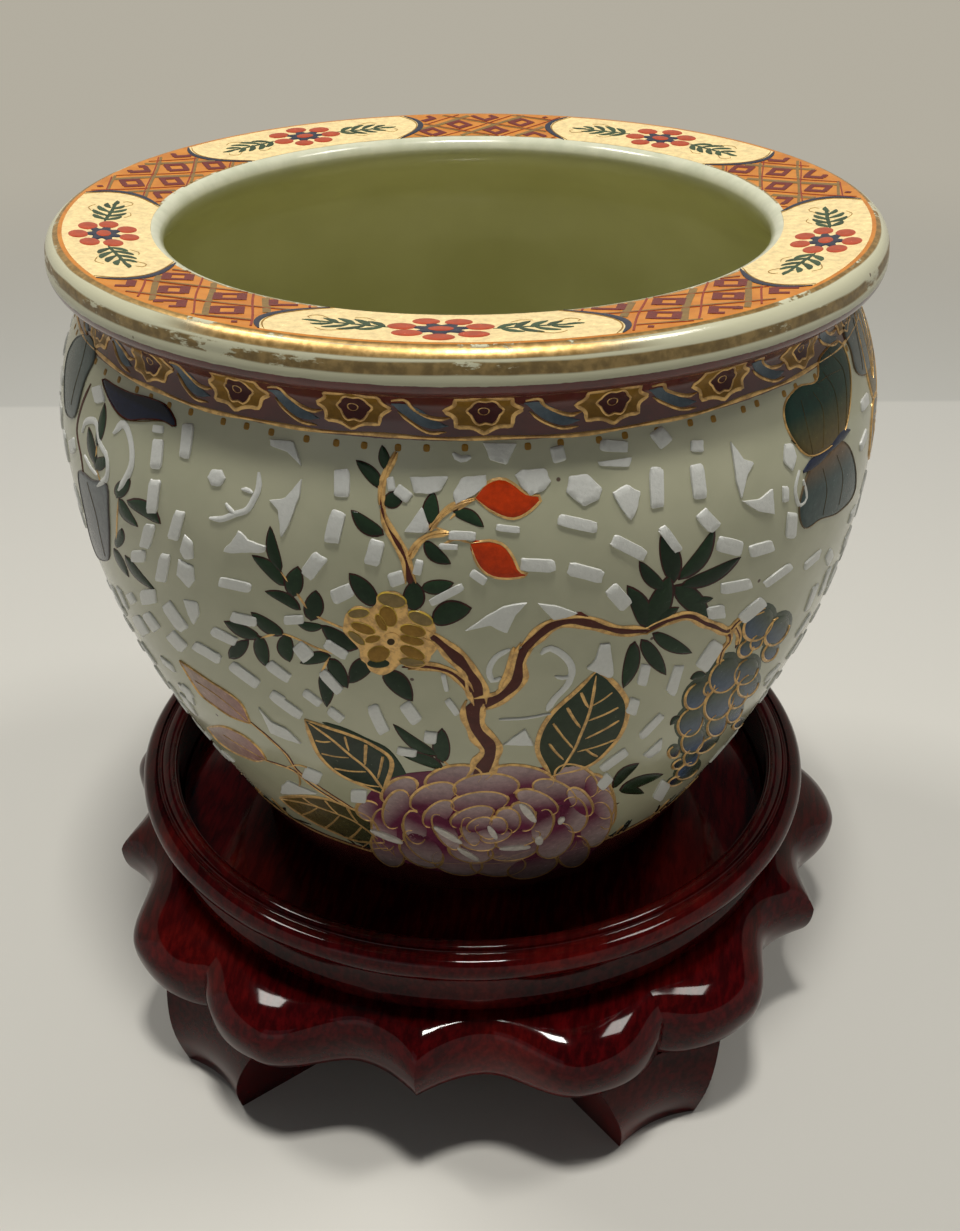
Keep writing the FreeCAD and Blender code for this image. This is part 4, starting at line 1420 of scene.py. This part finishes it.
def makeBuds():
    mould = Mould("pink_buds", [enamel, gold])
    for swing in frontAndBack:
        for bud in budWork["buds"]:
            edges = bothEdges(bud, swing, 16)
            tone = shaded(budWork["blush"], budWork["pink"], edges[0][0], edges[0][-1])
            strip(mould, edges[1], edges[0], 0.3, tone, columns=5)
            for key in ("left", "right"):
                stroke(mould, bud[key], 0.7, 0.5, finish=1, swing=swing)
        for path in budWork["innerLines"]:
            stroke(mould, path, 0.5, 0.5, finish=1, swing=swing)
        for path in budWork["stems"]:
            stroke(mould, path, 1.5, 0.24, (0.10, 0.015, 0.012), swing=swing)
            stroke(mould, path, 0.7, 0.4, finish=1, swing=swing)
        for path in budWork["sprigs"]:
            stroke(mould, path, 0.6, 0.36, finish=1, swing=swing)
    mould.make()


clusterWork = {
    "origin": (660, 600), "zoom": 8.25,
    # centre, half length, half width and the lean of the rounded end
    "scales": [
        (805, 205, 135, 82, 232), (960, 255, 125, 62, 236), (905, 425, 75, 42, 240),
        (705, 400, 70, 42, 235), (790, 345, 60, 34, 235), (525, 625, 140, 86, 236),
        (705, 590, 110, 66, 232), (720, 705, 95, 58, 232), (295, 790, 110, 64, 238),
        (480, 850, 140, 82, 238), (640, 800, 95, 48, 236), (245, 1010, 112, 74, 240),
        (465, 1030, 90, 56, 240), (610, 930, 80, 40, 238), (265, 1160, 100, 68, 240),
        (380, 1195, 90, 32, 218), (112, 1252, 46, 34, 240), (252, 1295, 66, 44, 240),
        (220, 1405, 92, 44, 215), (125, 1490, 60, 26, 205), (640, 1020, 46, 20, 222),
        (150, 1350, 50, 26, 215), (400, 720, 60, 30, 240)],
    "swell": 1.22, "moss": (0.058, 0.078, 0.050), "blue": (0.060, 0.100, 0.190),
    "deep": (0.008, 0.014, 0.050),
}


def makeCluster():
    # Drop-shaped scales, grey green above and blue below, in gold outlines; the lowest are dark.
    mould = Mould("blue_cluster", [enamel, gold])
    origin, zoom = np.array(clusterWork["origin"]), clusterWork["zoom"]
    for swing in frontAndBack:
        for number, (x, y, long, wide, lean) in enumerate(clusterWork["scales"]):
            long, wide = long * clusterWork["swell"], wide * clusterWork["swell"]
            centre = origin + np.array([x, y]) / zoom
            edge = ovalEdge(centre, long / zoom * 0.86, wide / zoom, lean, 22, inner=1.15)
            chart = chartOf(edge, swing)
            way = np.array([math.cos(math.radians(lean)), -math.sin(math.radians(lean))]) * long / zoom
            top, bottom = chartOf(np.stack([centre - way * 0.6, centre + way * 0.9]), swing)
            last = clusterWork["deep"] if y > 1180 and x < 400 and wide < 50 else clusterWork["blue"]
            base = 0.02 * (number % 3)
            wider = chart.mean(0) + (chart - chart.mean(0)) * 1.3
            disc(mould, counterClockwise(wider), 0.12, clusterWork["moss"])
            disc(mould, counterClockwise(chart), 0.28, shaded(clusterWork["moss"], last, top, bottom),
                 base=base)
            ribbon(mould, np.roll(chart, 8, axis=0)[:17], dice.uniform(1.0, 1.35), 0.5 + base, finish=1,
                   step=1.2)
    mould.make()


wingWork = {
    "right": [
        {"edge": [(820, 357), (838, 341), (849, 366), (847, 421), (838, 439), (810, 456), (789, 433),
                  (784, 406), (798, 387), (816, 381)],
         "tones": [(0.002, 0.030, 0.020), (0.13, 0.078, 0.012)], "shade": [(825, 400), (808, 470)],
         "rim": 0.6, "rimTone": (1, 1, 1), "rimFinish": 1,
         "lines": [[(822, 372), (834, 392), (838, 435)], [(812, 392), (822, 410), (822, 448)],
                   [(800, 400), (806, 425), (812, 454)], [(828, 352), (843, 372), (845, 425)],
                   [(816, 384), (829, 375), (843, 368)], [(791, 440), (800, 448), (811, 457)]]},
        {"edge": [(810, 467), (826, 455), (841, 441), (852, 455), (854, 491), (838, 512), (820, 519),
                  (804, 528), (799, 505)],
         "tones": [(0.20, 0.105, 0.045), (0.045, 0.075, 0.075)], "shade": [(826, 446), (812, 492)],
         "rim": 0.4, "rimTone": (0.14, 0.10, 0.06), "rimFinish": 0,
         "lines": [[(822, 468), (826, 490), (822, 515)], [(836, 455), (842, 478), (838, 505)]]},
        {"edge": [(843, 326), (856, 312), (866, 322), (872, 345), (868, 372), (856, 372), (850, 350)],
         "tones": [(0.05, 0.07, 0.075), (0.12, 0.14, 0.14)], "shade": [(852, 320), (862, 372)],
         "rim": 0.5, "rimTone": (0.14, 0.10, 0.06), "rimFinish": 0,
         "lines": [[(852, 318), (858, 345), (862, 370)]]},
    ],
    "bodies": [[(803, 472), (812, 464), (820, 458), (830, 449), (840, 437), (849, 430)]],
    "left": [
        {"edge": [(103, 379), (116, 386), (131, 393), (150, 398), (168, 407), (177, 427), (161, 420),
                  (143, 419), (127, 419), (112, 404)],
         "tones": [(0.003, 0.004, 0.012), (0.006, 0.010, 0.035)], "shade": [(110, 385), (170, 420)],
         "rim": 0.45, "rimTone": (0.10, 0.018, 0.012), "rimFinish": 0,
         "lines": [[(104, 383), (112, 405), (127, 420), (161, 421), (176, 427)]]},
        {"edge": [(65, 387), (68, 356), (78, 337), (91, 337), (96, 356), (86, 379), (76, 415), (67, 413)],
         "tones": [(0.055, 0.085, 0.085), (0.11, 0.13, 0.13)], "shade": [(85, 340), (70, 410)],
         "rim": 0.45, "rimTone": (0.09, 0.09, 0.08), "rimFinish": 0,
         "lines": [[(88, 340), (82, 365), (72, 405)]]},
        {"edge": [(79, 472), (93, 480), (107, 484), (109, 510), (110, 540), (108, 560), (96, 552),
                  (86, 514)],
         "tones": [(0.17, 0.19, 0.20), (0.11, 0.12, 0.14)], "shade": [(90, 478), (108, 555)],
         "rim": 0.4, "rimTone": (0.10, 0.09, 0.09), "rimFinish": 0,
         "lines": [[(88, 482), (97, 515), (106, 556)]]},
    ],
    "twig": [(91, 384), (82, 405), (77, 430), (81, 455), (84, 475)],
    "sideAngle": -13.0, "sideHeight": 236,
    # height over the middle, half axes and lean of the two wings further round a flank
    "sidePair": [(15, 21, 13, 52), (-9, 15, 10, -38)],
}


def makeWings():
    # Wings painted from one tone to another, with gold veins and edges. The photograph shows
    # them at the pot's flanks; one more pair stands further round each side.
    mould = Mould("butterfly_wings", [enamel, gold])
    for swing in frontAndBack:
        for key in ("right", "left"):
            for wing in wingWork[key]:
                chart = smoothEdge(wing["edge"], swing, 1.8)
                start, end = chartOf(wing["shade"], swing)
                end[0] = start[0]
                disc(mould, chart, 0.26, shaded(*wing["tones"], start, end), spacing=2.5)
                ribbon(mould, chart, wing["rim"], 0.42, wing["rimTone"], wing["rimFinish"], closed=True)
                for line in wing["lines"]:
                    stroke(mould, line, 0.4, 0.38, (0.10, 0.07, 0.025), swing=swing)
        for body in wingWork["bodies"]:
            stroke(mould, body, [2.6, 3.4, 1.6, 3.4, 2.2], 0.45, paint["navy"], swing=swing, columns=3)
        stroke(mould, wingWork["twig"], 1.2, 0.3, (0.09, 0.03, 0.02), swing=swing)
        deep, pale = wingWork["right"][0]["tones"]
        centre = np.array([math.radians(wingWork["sideAngle"]) + swing,
                           runAtHeight(wingWork["sideHeight"])])
        for up, long, wide, lean in wingWork["sidePair"]:
            oval = ovalEdge((0, 0), long, wide, lean, 30, inner=0.75) * [1, -1]
            edge = fromLocal(centre, torn(oval + [long * 0.5, up], 0.03))
            place = edge.mean(0)
            far = place + [math.radians(8), 0.35 * long]
            chart = counterClockwise(edge)
            disc(mould, chart, 0.26, shaded(pale, deep, place - [0.1, long * 0.4], far), spacing=2.5)
            ribbon(mould, chart, 0.8, 0.44, finish=1, closed=True)
            way = np.array([math.cos(math.radians(lean)), math.sin(math.radians(lean))])
            root = np.array([long * 0.5, up]) - long * 0.6 * way
            reach = long * np.array([[0.15, 0.8, 1.25]]).T
            for spread in (-22, -8, 8, 22):
                angle = math.radians(lean + spread)
                spots = root + reach * [math.cos(angle), math.sin(angle)]
                ribbon(mould, fromLocal(centre, spots), 0.55, 0.4, finish=1)
    mould.make()


neckWork = {
    "count": 23, "first": -80.1, "middle": 266.4, "wide": 9.6, "tall": 5.6, "hexWide": 4.5, "hexTall": 3.9,
    "line": 259.9, "dotLevel": 257.9, "dotCount": 92,
    # degrees from the flower and height of the leaf beside it
    "swoosh": [(-10.9, 268.2), (-9.6, 267.2), (-8.0, 264.9), (-6.2, 262.9), (-4.2, 262.6)],
    "swooshWidths": [0.8, 3.4, 3.6, 2.2, 0.6],
    "upper": [(-10.8, 269.2), (-9.2, 269.3), (-8.5, 267.0), (-7.0, 265.2), (-5.2, 264.3), (-3.9, 264.6)],
    "lower": [(-10.2, 265.8), (-8.9, 263.6), (-6.6, 261.5), (-4.4, 261.2)],
}


def makeNeckBand():
    # Pointed ochre flowers in gold outline, each with a ringed hexagon, and blue-grey leaves
    # between them; a gold line and ochre dots run below.
    mould = Mould("neck_flowers", [enamel, gold])
    walk = np.linspace(0, 2 * np.pi, 64, endpoint=False)
    middle = runAtHeight(neckWork["middle"])
    for number in range(neckWork["count"]):
        angle = math.radians(neckWork["first"] + number * 360 / neckWork["count"])
        centre = np.array([angle, middle])
        lobes = 0.81 + 0.19 * (1 - np.abs(np.sin(4 * walk + dice.uniform(-0.12, 0.12)))) ** 1.2
        star = np.stack([np.cos(walk) * neckWork["wide"], np.sin(walk) * neckWork["tall"]], 1)
        star = fromLocal(centre, torn(star * lobes[:, None], 0.02))
        disc(mould, star, 0.22, np.array(paint["ochre"]) * dice.uniform(0.75, 1.0), spacing=2.4)
        ribbon(mould, star[::2], dice.uniform(1.0, 1.25), 0.38, finish=1, step=0.9, closed=True)
        few = walk[::4]
        six = 0.9 + 0.1 * np.cos(6 * few)
        shape = np.stack([np.cos(few) * neckWork["hexWide"], np.sin(few) * neckWork["hexTall"]], 1)
        hexagon = fromLocal(centre + [math.radians(0.2), 0], shape * six[:, None])
        disc(mould, hexagon, 0.1, paint["maroon"], base=0.22)
        ribbon(mould, hexagon, 1.0, 0.42, finish=1, step=0.8, closed=True)
        ring = fromLocal(centre, np.stack([np.cos(walk[::6]), np.sin(walk[::6]) * 0.8], 1) * 1.35)
        ribbon(mould, ring, 0.7, 0.46, finish=1, step=0.6, closed=True)
        for key, width, tone, finish in (
                ("swoosh", neckWork["swooshWidths"], paint["blueGrey"], 0), ("upper", 1.0, (1, 1, 1), 1),
                ("lower", 0.85, (1, 1, 1), 1)):
            path = [(angle + math.radians(turned), runAtHeight(height + dice.uniform(-0.25, 0.25)))
                    for turned, height in neckWork[key]]
            ribbon(mould, path, width, 0.3 if finish == 0 else 0.42, tone, finish, step=1.0)
    ring = np.linspace(0, 2 * np.pi, 180, endpoint=False)
    wobble = 0.25 * np.sin(7 * ring) + 0.15 * np.sin(23 * ring + 1)
    line = np.stack([ring, runAtHeight(neckWork["line"] + wobble)], 1)
    ribbon(mould, line[:-1], 0.95 + 0.25 * np.sin(31 * ring), 0.35, finish=1, step=2.2, tips=(1, 1))
    for number in range(neckWork["dotCount"]):
        angle = (number + dice.uniform(-0.2, 0.2)) * 2 * math.pi / neckWork["dotCount"]
        centre = np.array([angle, runAtHeight(neckWork["dotLevel"] + dice.uniform(-0.3, 0.3))])
        oval = ovalEdge((0, 0), 0.95, 0.85, 90, 12, squareness=3) * [1, -1]
        disc(mould, counterClockwise(fromLocal(centre, oval)), 0.16, paint["ochre"])
    mould.make()


rimWork = {
    "panels": 5, "first": -85.3, "inner": 96.2, "outer": 121.4,
    "halfInner": 18.0, "halfMiddle": 23.4, "halfOuter": 21.2,
    "broadStart": -2.6, "broadStep": 14.6, "thinStart": 2.6, "thinStep": 13.0, "skew": -0.36,
    "squareHalf": (3.0, 2.6), "bars": (2.6, 1.9), "lineWide": 1.9, "lineThin": 0.9, "redLine": 0.45,
    "mirrors": (1, 1, 1, -1, -1),
    "flowerRadius": 109.6, "petalWide": 10.0, "petalTall": 7.4, "petal": (3.7, 2.85),
    "core": (8.2, 5.8), "heart": (3.2, 2.1), "sprayStart": 14.6,
    "lattice": (0.22, 0.135, 0.045), "latticeRed": (0.26, 0.035, 0.018), "plum": (0.150, 0.019, 0.019),
    # leaflets of a spray: along, aside, length, width, lean
    "leaflets": [(1.6, 2.6, 6.6, 2.3, 52), (2.4, -2.4, 6.4, 2.4, -48), (5.4, 3.0, 7.4, 2.4, 58),
                 (6.6, -2.9, 7.4, 2.4, -56), (9.6, 2.8, 7.2, 2.3, 54), (10.8, -2.6, 6.8, 2.3, -50),
                 (13.6, 2.2, 6.0, 2.1, 46), (14.8, -1.8, 5.4, 2.0, -38), (18.2, 0.4, 5.4, 1.8, 12)],
    "tendrils": [[(3, 5.2), (6, 7.0), (9, 6.2)], [(8, -5.0), (12, -6.8), (15, -5.4)],
                 [(15, 3.5), (18.5, 5.4), (21, 3.6), (19.8, 2.0)]],
}


def panelHalf(share):
    # Half the angle of a panel from its outer (0) to its inner edge (1), bulging between.
    ends = rimWork["halfOuter"] + (rimWork["halfInner"] - rimWork["halfOuter"]) * share
    bulge = rimWork["halfMiddle"] - (rimWork["halfOuter"] + rimWork["halfInner"]) / 2
    return np.radians(ends + bulge * 4 * share * (1 - share))


def makeRimPanels():
    mould = Mould("rim_panels", [enamel, gold])
    share = np.linspace(0, 1, 15)
    radius = rimWork["outer"] + (rimWork["inner"] - rimWork["outer"]) * share
    run = runOnRim(radius)
    walk = np.linspace(0, 2 * np.pi, 42, endpoint=False)
    for number in range(rimWork["panels"]):
        angle = math.radians(rimWork["first"] + number * 360 / rimWork["panels"])
        half = panelHalf(share)
        left, right = (np.stack([angle + hand * half, run], 1) for hand in (-1, 1))
        strip(mould, left, right, 0.10, paint["cream"], columns=25)
        for edge in (left, right):
            bracket = np.interp(share[::2], [0, 0.35, 0.6, 1], [0.9, 2.1, 2.1, 0.7])
            ribbon(mould, edge[::2], bracket, 0.16, paint["navy"], base=0.08, tips=(0.5, 0.5))
            inset = edge[::2] - [[math.copysign(math.radians(0.75), edge[0, 0] - angle), 0]]
            ribbon(mould, inset, 0.4, 0.12, paint["ochre"], base=0.1)
        centre = np.array([angle, runOnRim(rimWork["flowerRadius"])])
        core = fromLocal(centre, np.stack([np.cos(walk), -np.sin(walk)], 1) * rimWork["core"]
                         * (0.80 + 0.20 * np.cos(7 * (walk - np.pi / 2)))[:, None])
        disc(mould, counterClockwise(core), 0.16, paint["navy"], base=0.08)
        for petal in range(7):
            lean = math.radians(90 + petal * 360 / 7)
            x, y = rimWork["petalWide"] * math.cos(lean), -rimWork["petalTall"] * math.sin(lean)
            oval = ovalEdge((x, y), *rimWork["petal"], 0, 18) + dice.uniform(-0.3, 0.3, 2)
            disc(mould, counterClockwise(fromLocal(centre, oval)), 0.18, paint["brick"], base=0.1)
        heart = fromLocal(centre, ovalEdge((0, 0), *rimWork["heart"], 0, 16))
        disc(mould, counterClockwise(heart), 0.16, paint["brick"], base=0.2)
        for hand in (-1, 1):
            start = rimWork["sprayStart"]
            stem = [(hand * (start - 2), 0.0), (hand * (start + 9), 0.7), (hand * (start + 20), 0.0)]
            leafTone = np.array([0.030, 0.062, 0.030])
            ribbon(mould, fromLocal(centre, stem), 1.1, 0.12, leafTone, base=0.08)
            for along, aside, long, wide, lean in rimWork["leaflets"]:
                rate = np.linspace(0, 1, 7)
                side = math.copysign(1, lean)
                reach = long * (rate - 0.5)
                sway = dice.uniform(-6, 6)
                turned = np.radians(abs(lean) + sway - 24 * rate)
                x = hand * (start + along + reach * np.cos(turned))
                y = aside + side * reach * np.sin(turned)
                ribbon(mould, fromLocal(centre, np.stack([x, y], 1)), [wide * 0.5, wide, wide * 0.45], 0.14,
                       leafTone * dice.uniform(0.8, 1.3), base=0.1, tips=(0.8, 0.3), step=1.1)
            for tendril in rimWork["tendrils"]:
                spots = [(hand * (start + along), aside) for along, aside in tendril]
                ribbon(mould, fromLocal(centre, spots), 0.3, 0.1, paint["ochre"], base=0.1)
    mould.make()


def makeRimDiaper():
    # Between the panels a slightly skew lattice lies at 45 degrees, mirrored on the left: broad
    # and thin olive lines with a red line beside each, and a hollow plum square in every cell.
    # What would leave the orange ground is cut off.
    mould = Mould("rim_diaper", [enamel])
    middle = (rimWork["inner"] + rimWork["outer"]) / 2
    depth = rimWork["outer"] - rimWork["inner"]

    def lay(spots, gap, mirror, width, tone, lift):
        # Plan places turn to a chart, and each stretch on the ground becomes a line.
        p, q = spots[:, 0], spots[:, 1]
        right, out = (p - q) * math.sqrt(0.5) * mirror, (p + q) * math.sqrt(0.5) + middle
        radius, turned = np.hypot(right, out), np.arctan2(right, out)
        share = np.clip((rimWork["outer"] - radius) / depth, 0, 1)
        room = math.pi / rimWork["panels"] - panelHalf(share) - 0.010
        inside = (np.abs(turned) < room) & (np.abs(radius - middle) < depth / 2 - width / 2)
        chart = np.stack([gap + turned, runOnRim(np.clip(radius, rimWork["inner"], rimWork["outer"]))], 1)
        flags = np.concatenate([[0], inside.astype(int), [0]])
        starts, ends = np.nonzero(np.diff(flags) == 1)[0], np.nonzero(np.diff(flags) == -1)[0]
        for start, end in zip(starts, ends):
            if end - start > 2:
                ribbon(mould, chart[start:end], width, lift, tone, tips=(1, 1), step=0.9, base=0.05)

    long, skew = rimWork["broadStep"], rimWork["skew"]
    steps = np.linspace(-45, 45, 91)
    for number in range(rimWork["panels"]):
        gap = math.radians(rimWork["first"] + (number + 0.5) * 360 / rimWork["panels"])
        mirror = rimWork["mirrors"][number]
        for order in range(-4, 5):
            broad = rimWork["broadStart"] + order * rimWork["broadStep"]
            thin = rimWork["thinStart"] + order * rimWork["thinStep"]
            for offset, wide, tone, lift in (
                    (0, rimWork["lineWide"], rimWork["lattice"], 0.10),
                    (3.4, rimWork["redLine"] * 1.3, rimWork["latticeRed"], 0.14)):
                wide = wide * dice.uniform(0.85, 1.15)
                sway = 0.3 * np.sin(steps / 6 + dice.uniform(0, 6))
                lay(np.stack([broad + offset + sway, steps], 1), gap, mirror, wide, tone, lift)
            for offset, wide, tone, lift in (
                    (0, rimWork["lineThin"], rimWork["lattice"], 0.10),
                    (0.9, rimWork["redLine"], rimWork["latticeRed"], 0.14)):
                sway = 0.2 * np.sin(steps / 6 + dice.uniform(0, 6))
                lay(np.stack([steps, thin + offset + skew * steps + sway], 1), gap, mirror, wide, tone,
                    lift)
            for column in range(-4, 5):
                centre = np.array([rimWork["broadStart"] + (column + 0.66) * long, 0])
                centre[1] = rimWork["thinStart"] + (order + 0.5) * rimWork["thinStep"] + skew * centre[0]
                halfP, halfQ = rimWork["squareHalf"]
                side = np.linspace(-1, 1, 9)
                full = np.ones(9)
                # Two broad sides, then two slimmer ones that close the square.
                jitter = dice.uniform(-0.35, 0.35, 4)
                for across in (-1, 1):
                    bar = np.stack([full * (halfP + jitter[0]) * across, side * (halfQ + 0.75)], 1)
                    lay(centre + bar, gap, mirror, rimWork["bars"][0], rimWork["plum"], 0.14)
                    bar = np.stack([side * halfP, full * (halfQ + jitter[1]) * across], 1)
                    lay(centre + bar, gap, mirror, rimWork["bars"][1], rimWork["plum"], 0.14)
    mould.make()


baseWork = {"line": 97.4, "tufts": 30, "blades": 7}


def makeBaseBand():
    # A worn gold line round the foot of the body, with tufts of dark and gold grass over it.
    mould = Mould("base_grass", [enamel, gold])
    ring = np.linspace(0, 2 * np.pi, 150, endpoint=False)
    wobble = 0.4 * np.sin(5 * ring) + 0.25 * np.sin(17 * ring + 2)
    line = np.stack([ring, runAtHeight(baseWork["line"] + wobble)], 1)
    ribbon(mould, line[:-1], 1.0 + 0.4 * np.sin(29 * ring), 0.3, finish=1, step=2.4, tips=(1, 1))
    for tuft in range(baseWork["tufts"]):
        angle = 2 * math.pi * (tuft + dice.uniform(-0.35, 0.35)) / baseWork["tufts"]
        root = np.array([angle, runAtHeight(dice.uniform(97, 100))])
        for number in range(baseWork["blades"]):
            lean = dice.uniform(-65, 65)
            long = dice.uniform(5, 12)
            sway = dice.uniform(-0.3, 0.3)
            reach = np.array([[0, 0.5, 1]]).T * long
            bent = np.radians(lean) + reach / long * sway
            spots = np.concatenate([reach * np.sin(bent), reach * np.cos(bent)], 1)
            spots = spots + [dice.uniform(-4, 4), -0.5]
            if number % 3 == 2:
                ribbon(mould, fromLocal(root, spots), 0.55, 0.42, finish=1)
            else:
                ribbon(mould, fromLocal(root, spots), [1.0, 1.7, 0.6], 0.26,
                       np.array([0.014, 0.020, 0.018]) * dice.uniform(0.6, 1.6))
    mould.make()


makeSlip()
print("slip dabs are laid")
for make in (makeLeaves, makeVeinedLeaves, makeBranches, makeBlossom, makePeony, makeBuds,
             makeCluster, makeWings):
    make()
print("painting on the body is done")
for make in (makeNeckBand, makeRimPanels, makeRimDiaper, makeBaseBand, makeSideDabs):
    make()
print("bands and rim are done")


def makeStage():
    # A flat round floor that bends up all round into an upright wall.
    radius, bend = room["wallRadius"], room["wallBend"]
    turnUp = np.linspace(0, np.pi / 2, 16)
    out = np.concatenate([[0.01], radius - bend + bend * np.sin(turnUp), [radius]])
    height = np.concatenate([[0], bend * (1 - np.cos(turnUp)), [room["wallHeight"]]])
    angle = 2 * np.pi * np.arange(room["turns"]) / room["turns"]
    points = np.stack([out[:, None] * np.cos(angle), out[:, None] * np.sin(angle),
                       np.broadcast_to(height[:, None], (len(out), len(angle)))], -1)
    faces = gridFaces(len(out), len(angle), closeColumns=True)[:, ::-1].tolist()
    mesh = bpy.data.meshes.new("floor")
    mesh.from_pydata(points.reshape(-1, 3).tolist(), [], faces + [list(range(len(angle)))])
    mesh.shade_smooth()
    finish = Finish("floor_paint", Roughness=0.8, Specular_IOR_Level=0.0, Emission_Strength=1)
    # Behind a line the paint is a shade greyer. Far from the lamps the camera and the
    # reflections see the paint at one even brightness.
    depth = finish.y * math.cos(turn) - finish.x * math.sin(turn)
    shade = finish.rise(depth, room["greyFrom"] - room["greyHalf"], room["greyFrom"] + room["greyHalf"])
    camera, glossy, through = (
        finish.node("ShaderNodeLightPath", output="Is " + ray + " Ray")
        for ray in ("Camera", "Glossy", "Transmission"))
    seen = camera.maths("MAXIMUM", camera.maths("MAXIMUM", camera, glossy), through)
    far = finish.rise(finish.radius(), *room["fadeOut"]) * seen
    lit = finish.mix(shade, room["floorColour"], room["wallColour"])
    even = finish.mix(shade, room["floorShown"], room["wallShown"])
    finish.put(Base_Color=finish.mix(far, lit, (0, 0, 0)), Emission_Color=finish.mix(far, (0, 0, 0), even))
    mesh.materials.append(finish.material)
    floor = bpy.data.objects.new("floor", mesh)
    bpy.context.scene.collection.objects.link(floor)


makeStage()
bpy.context.scene.view_settings.view_transform = "Standard"
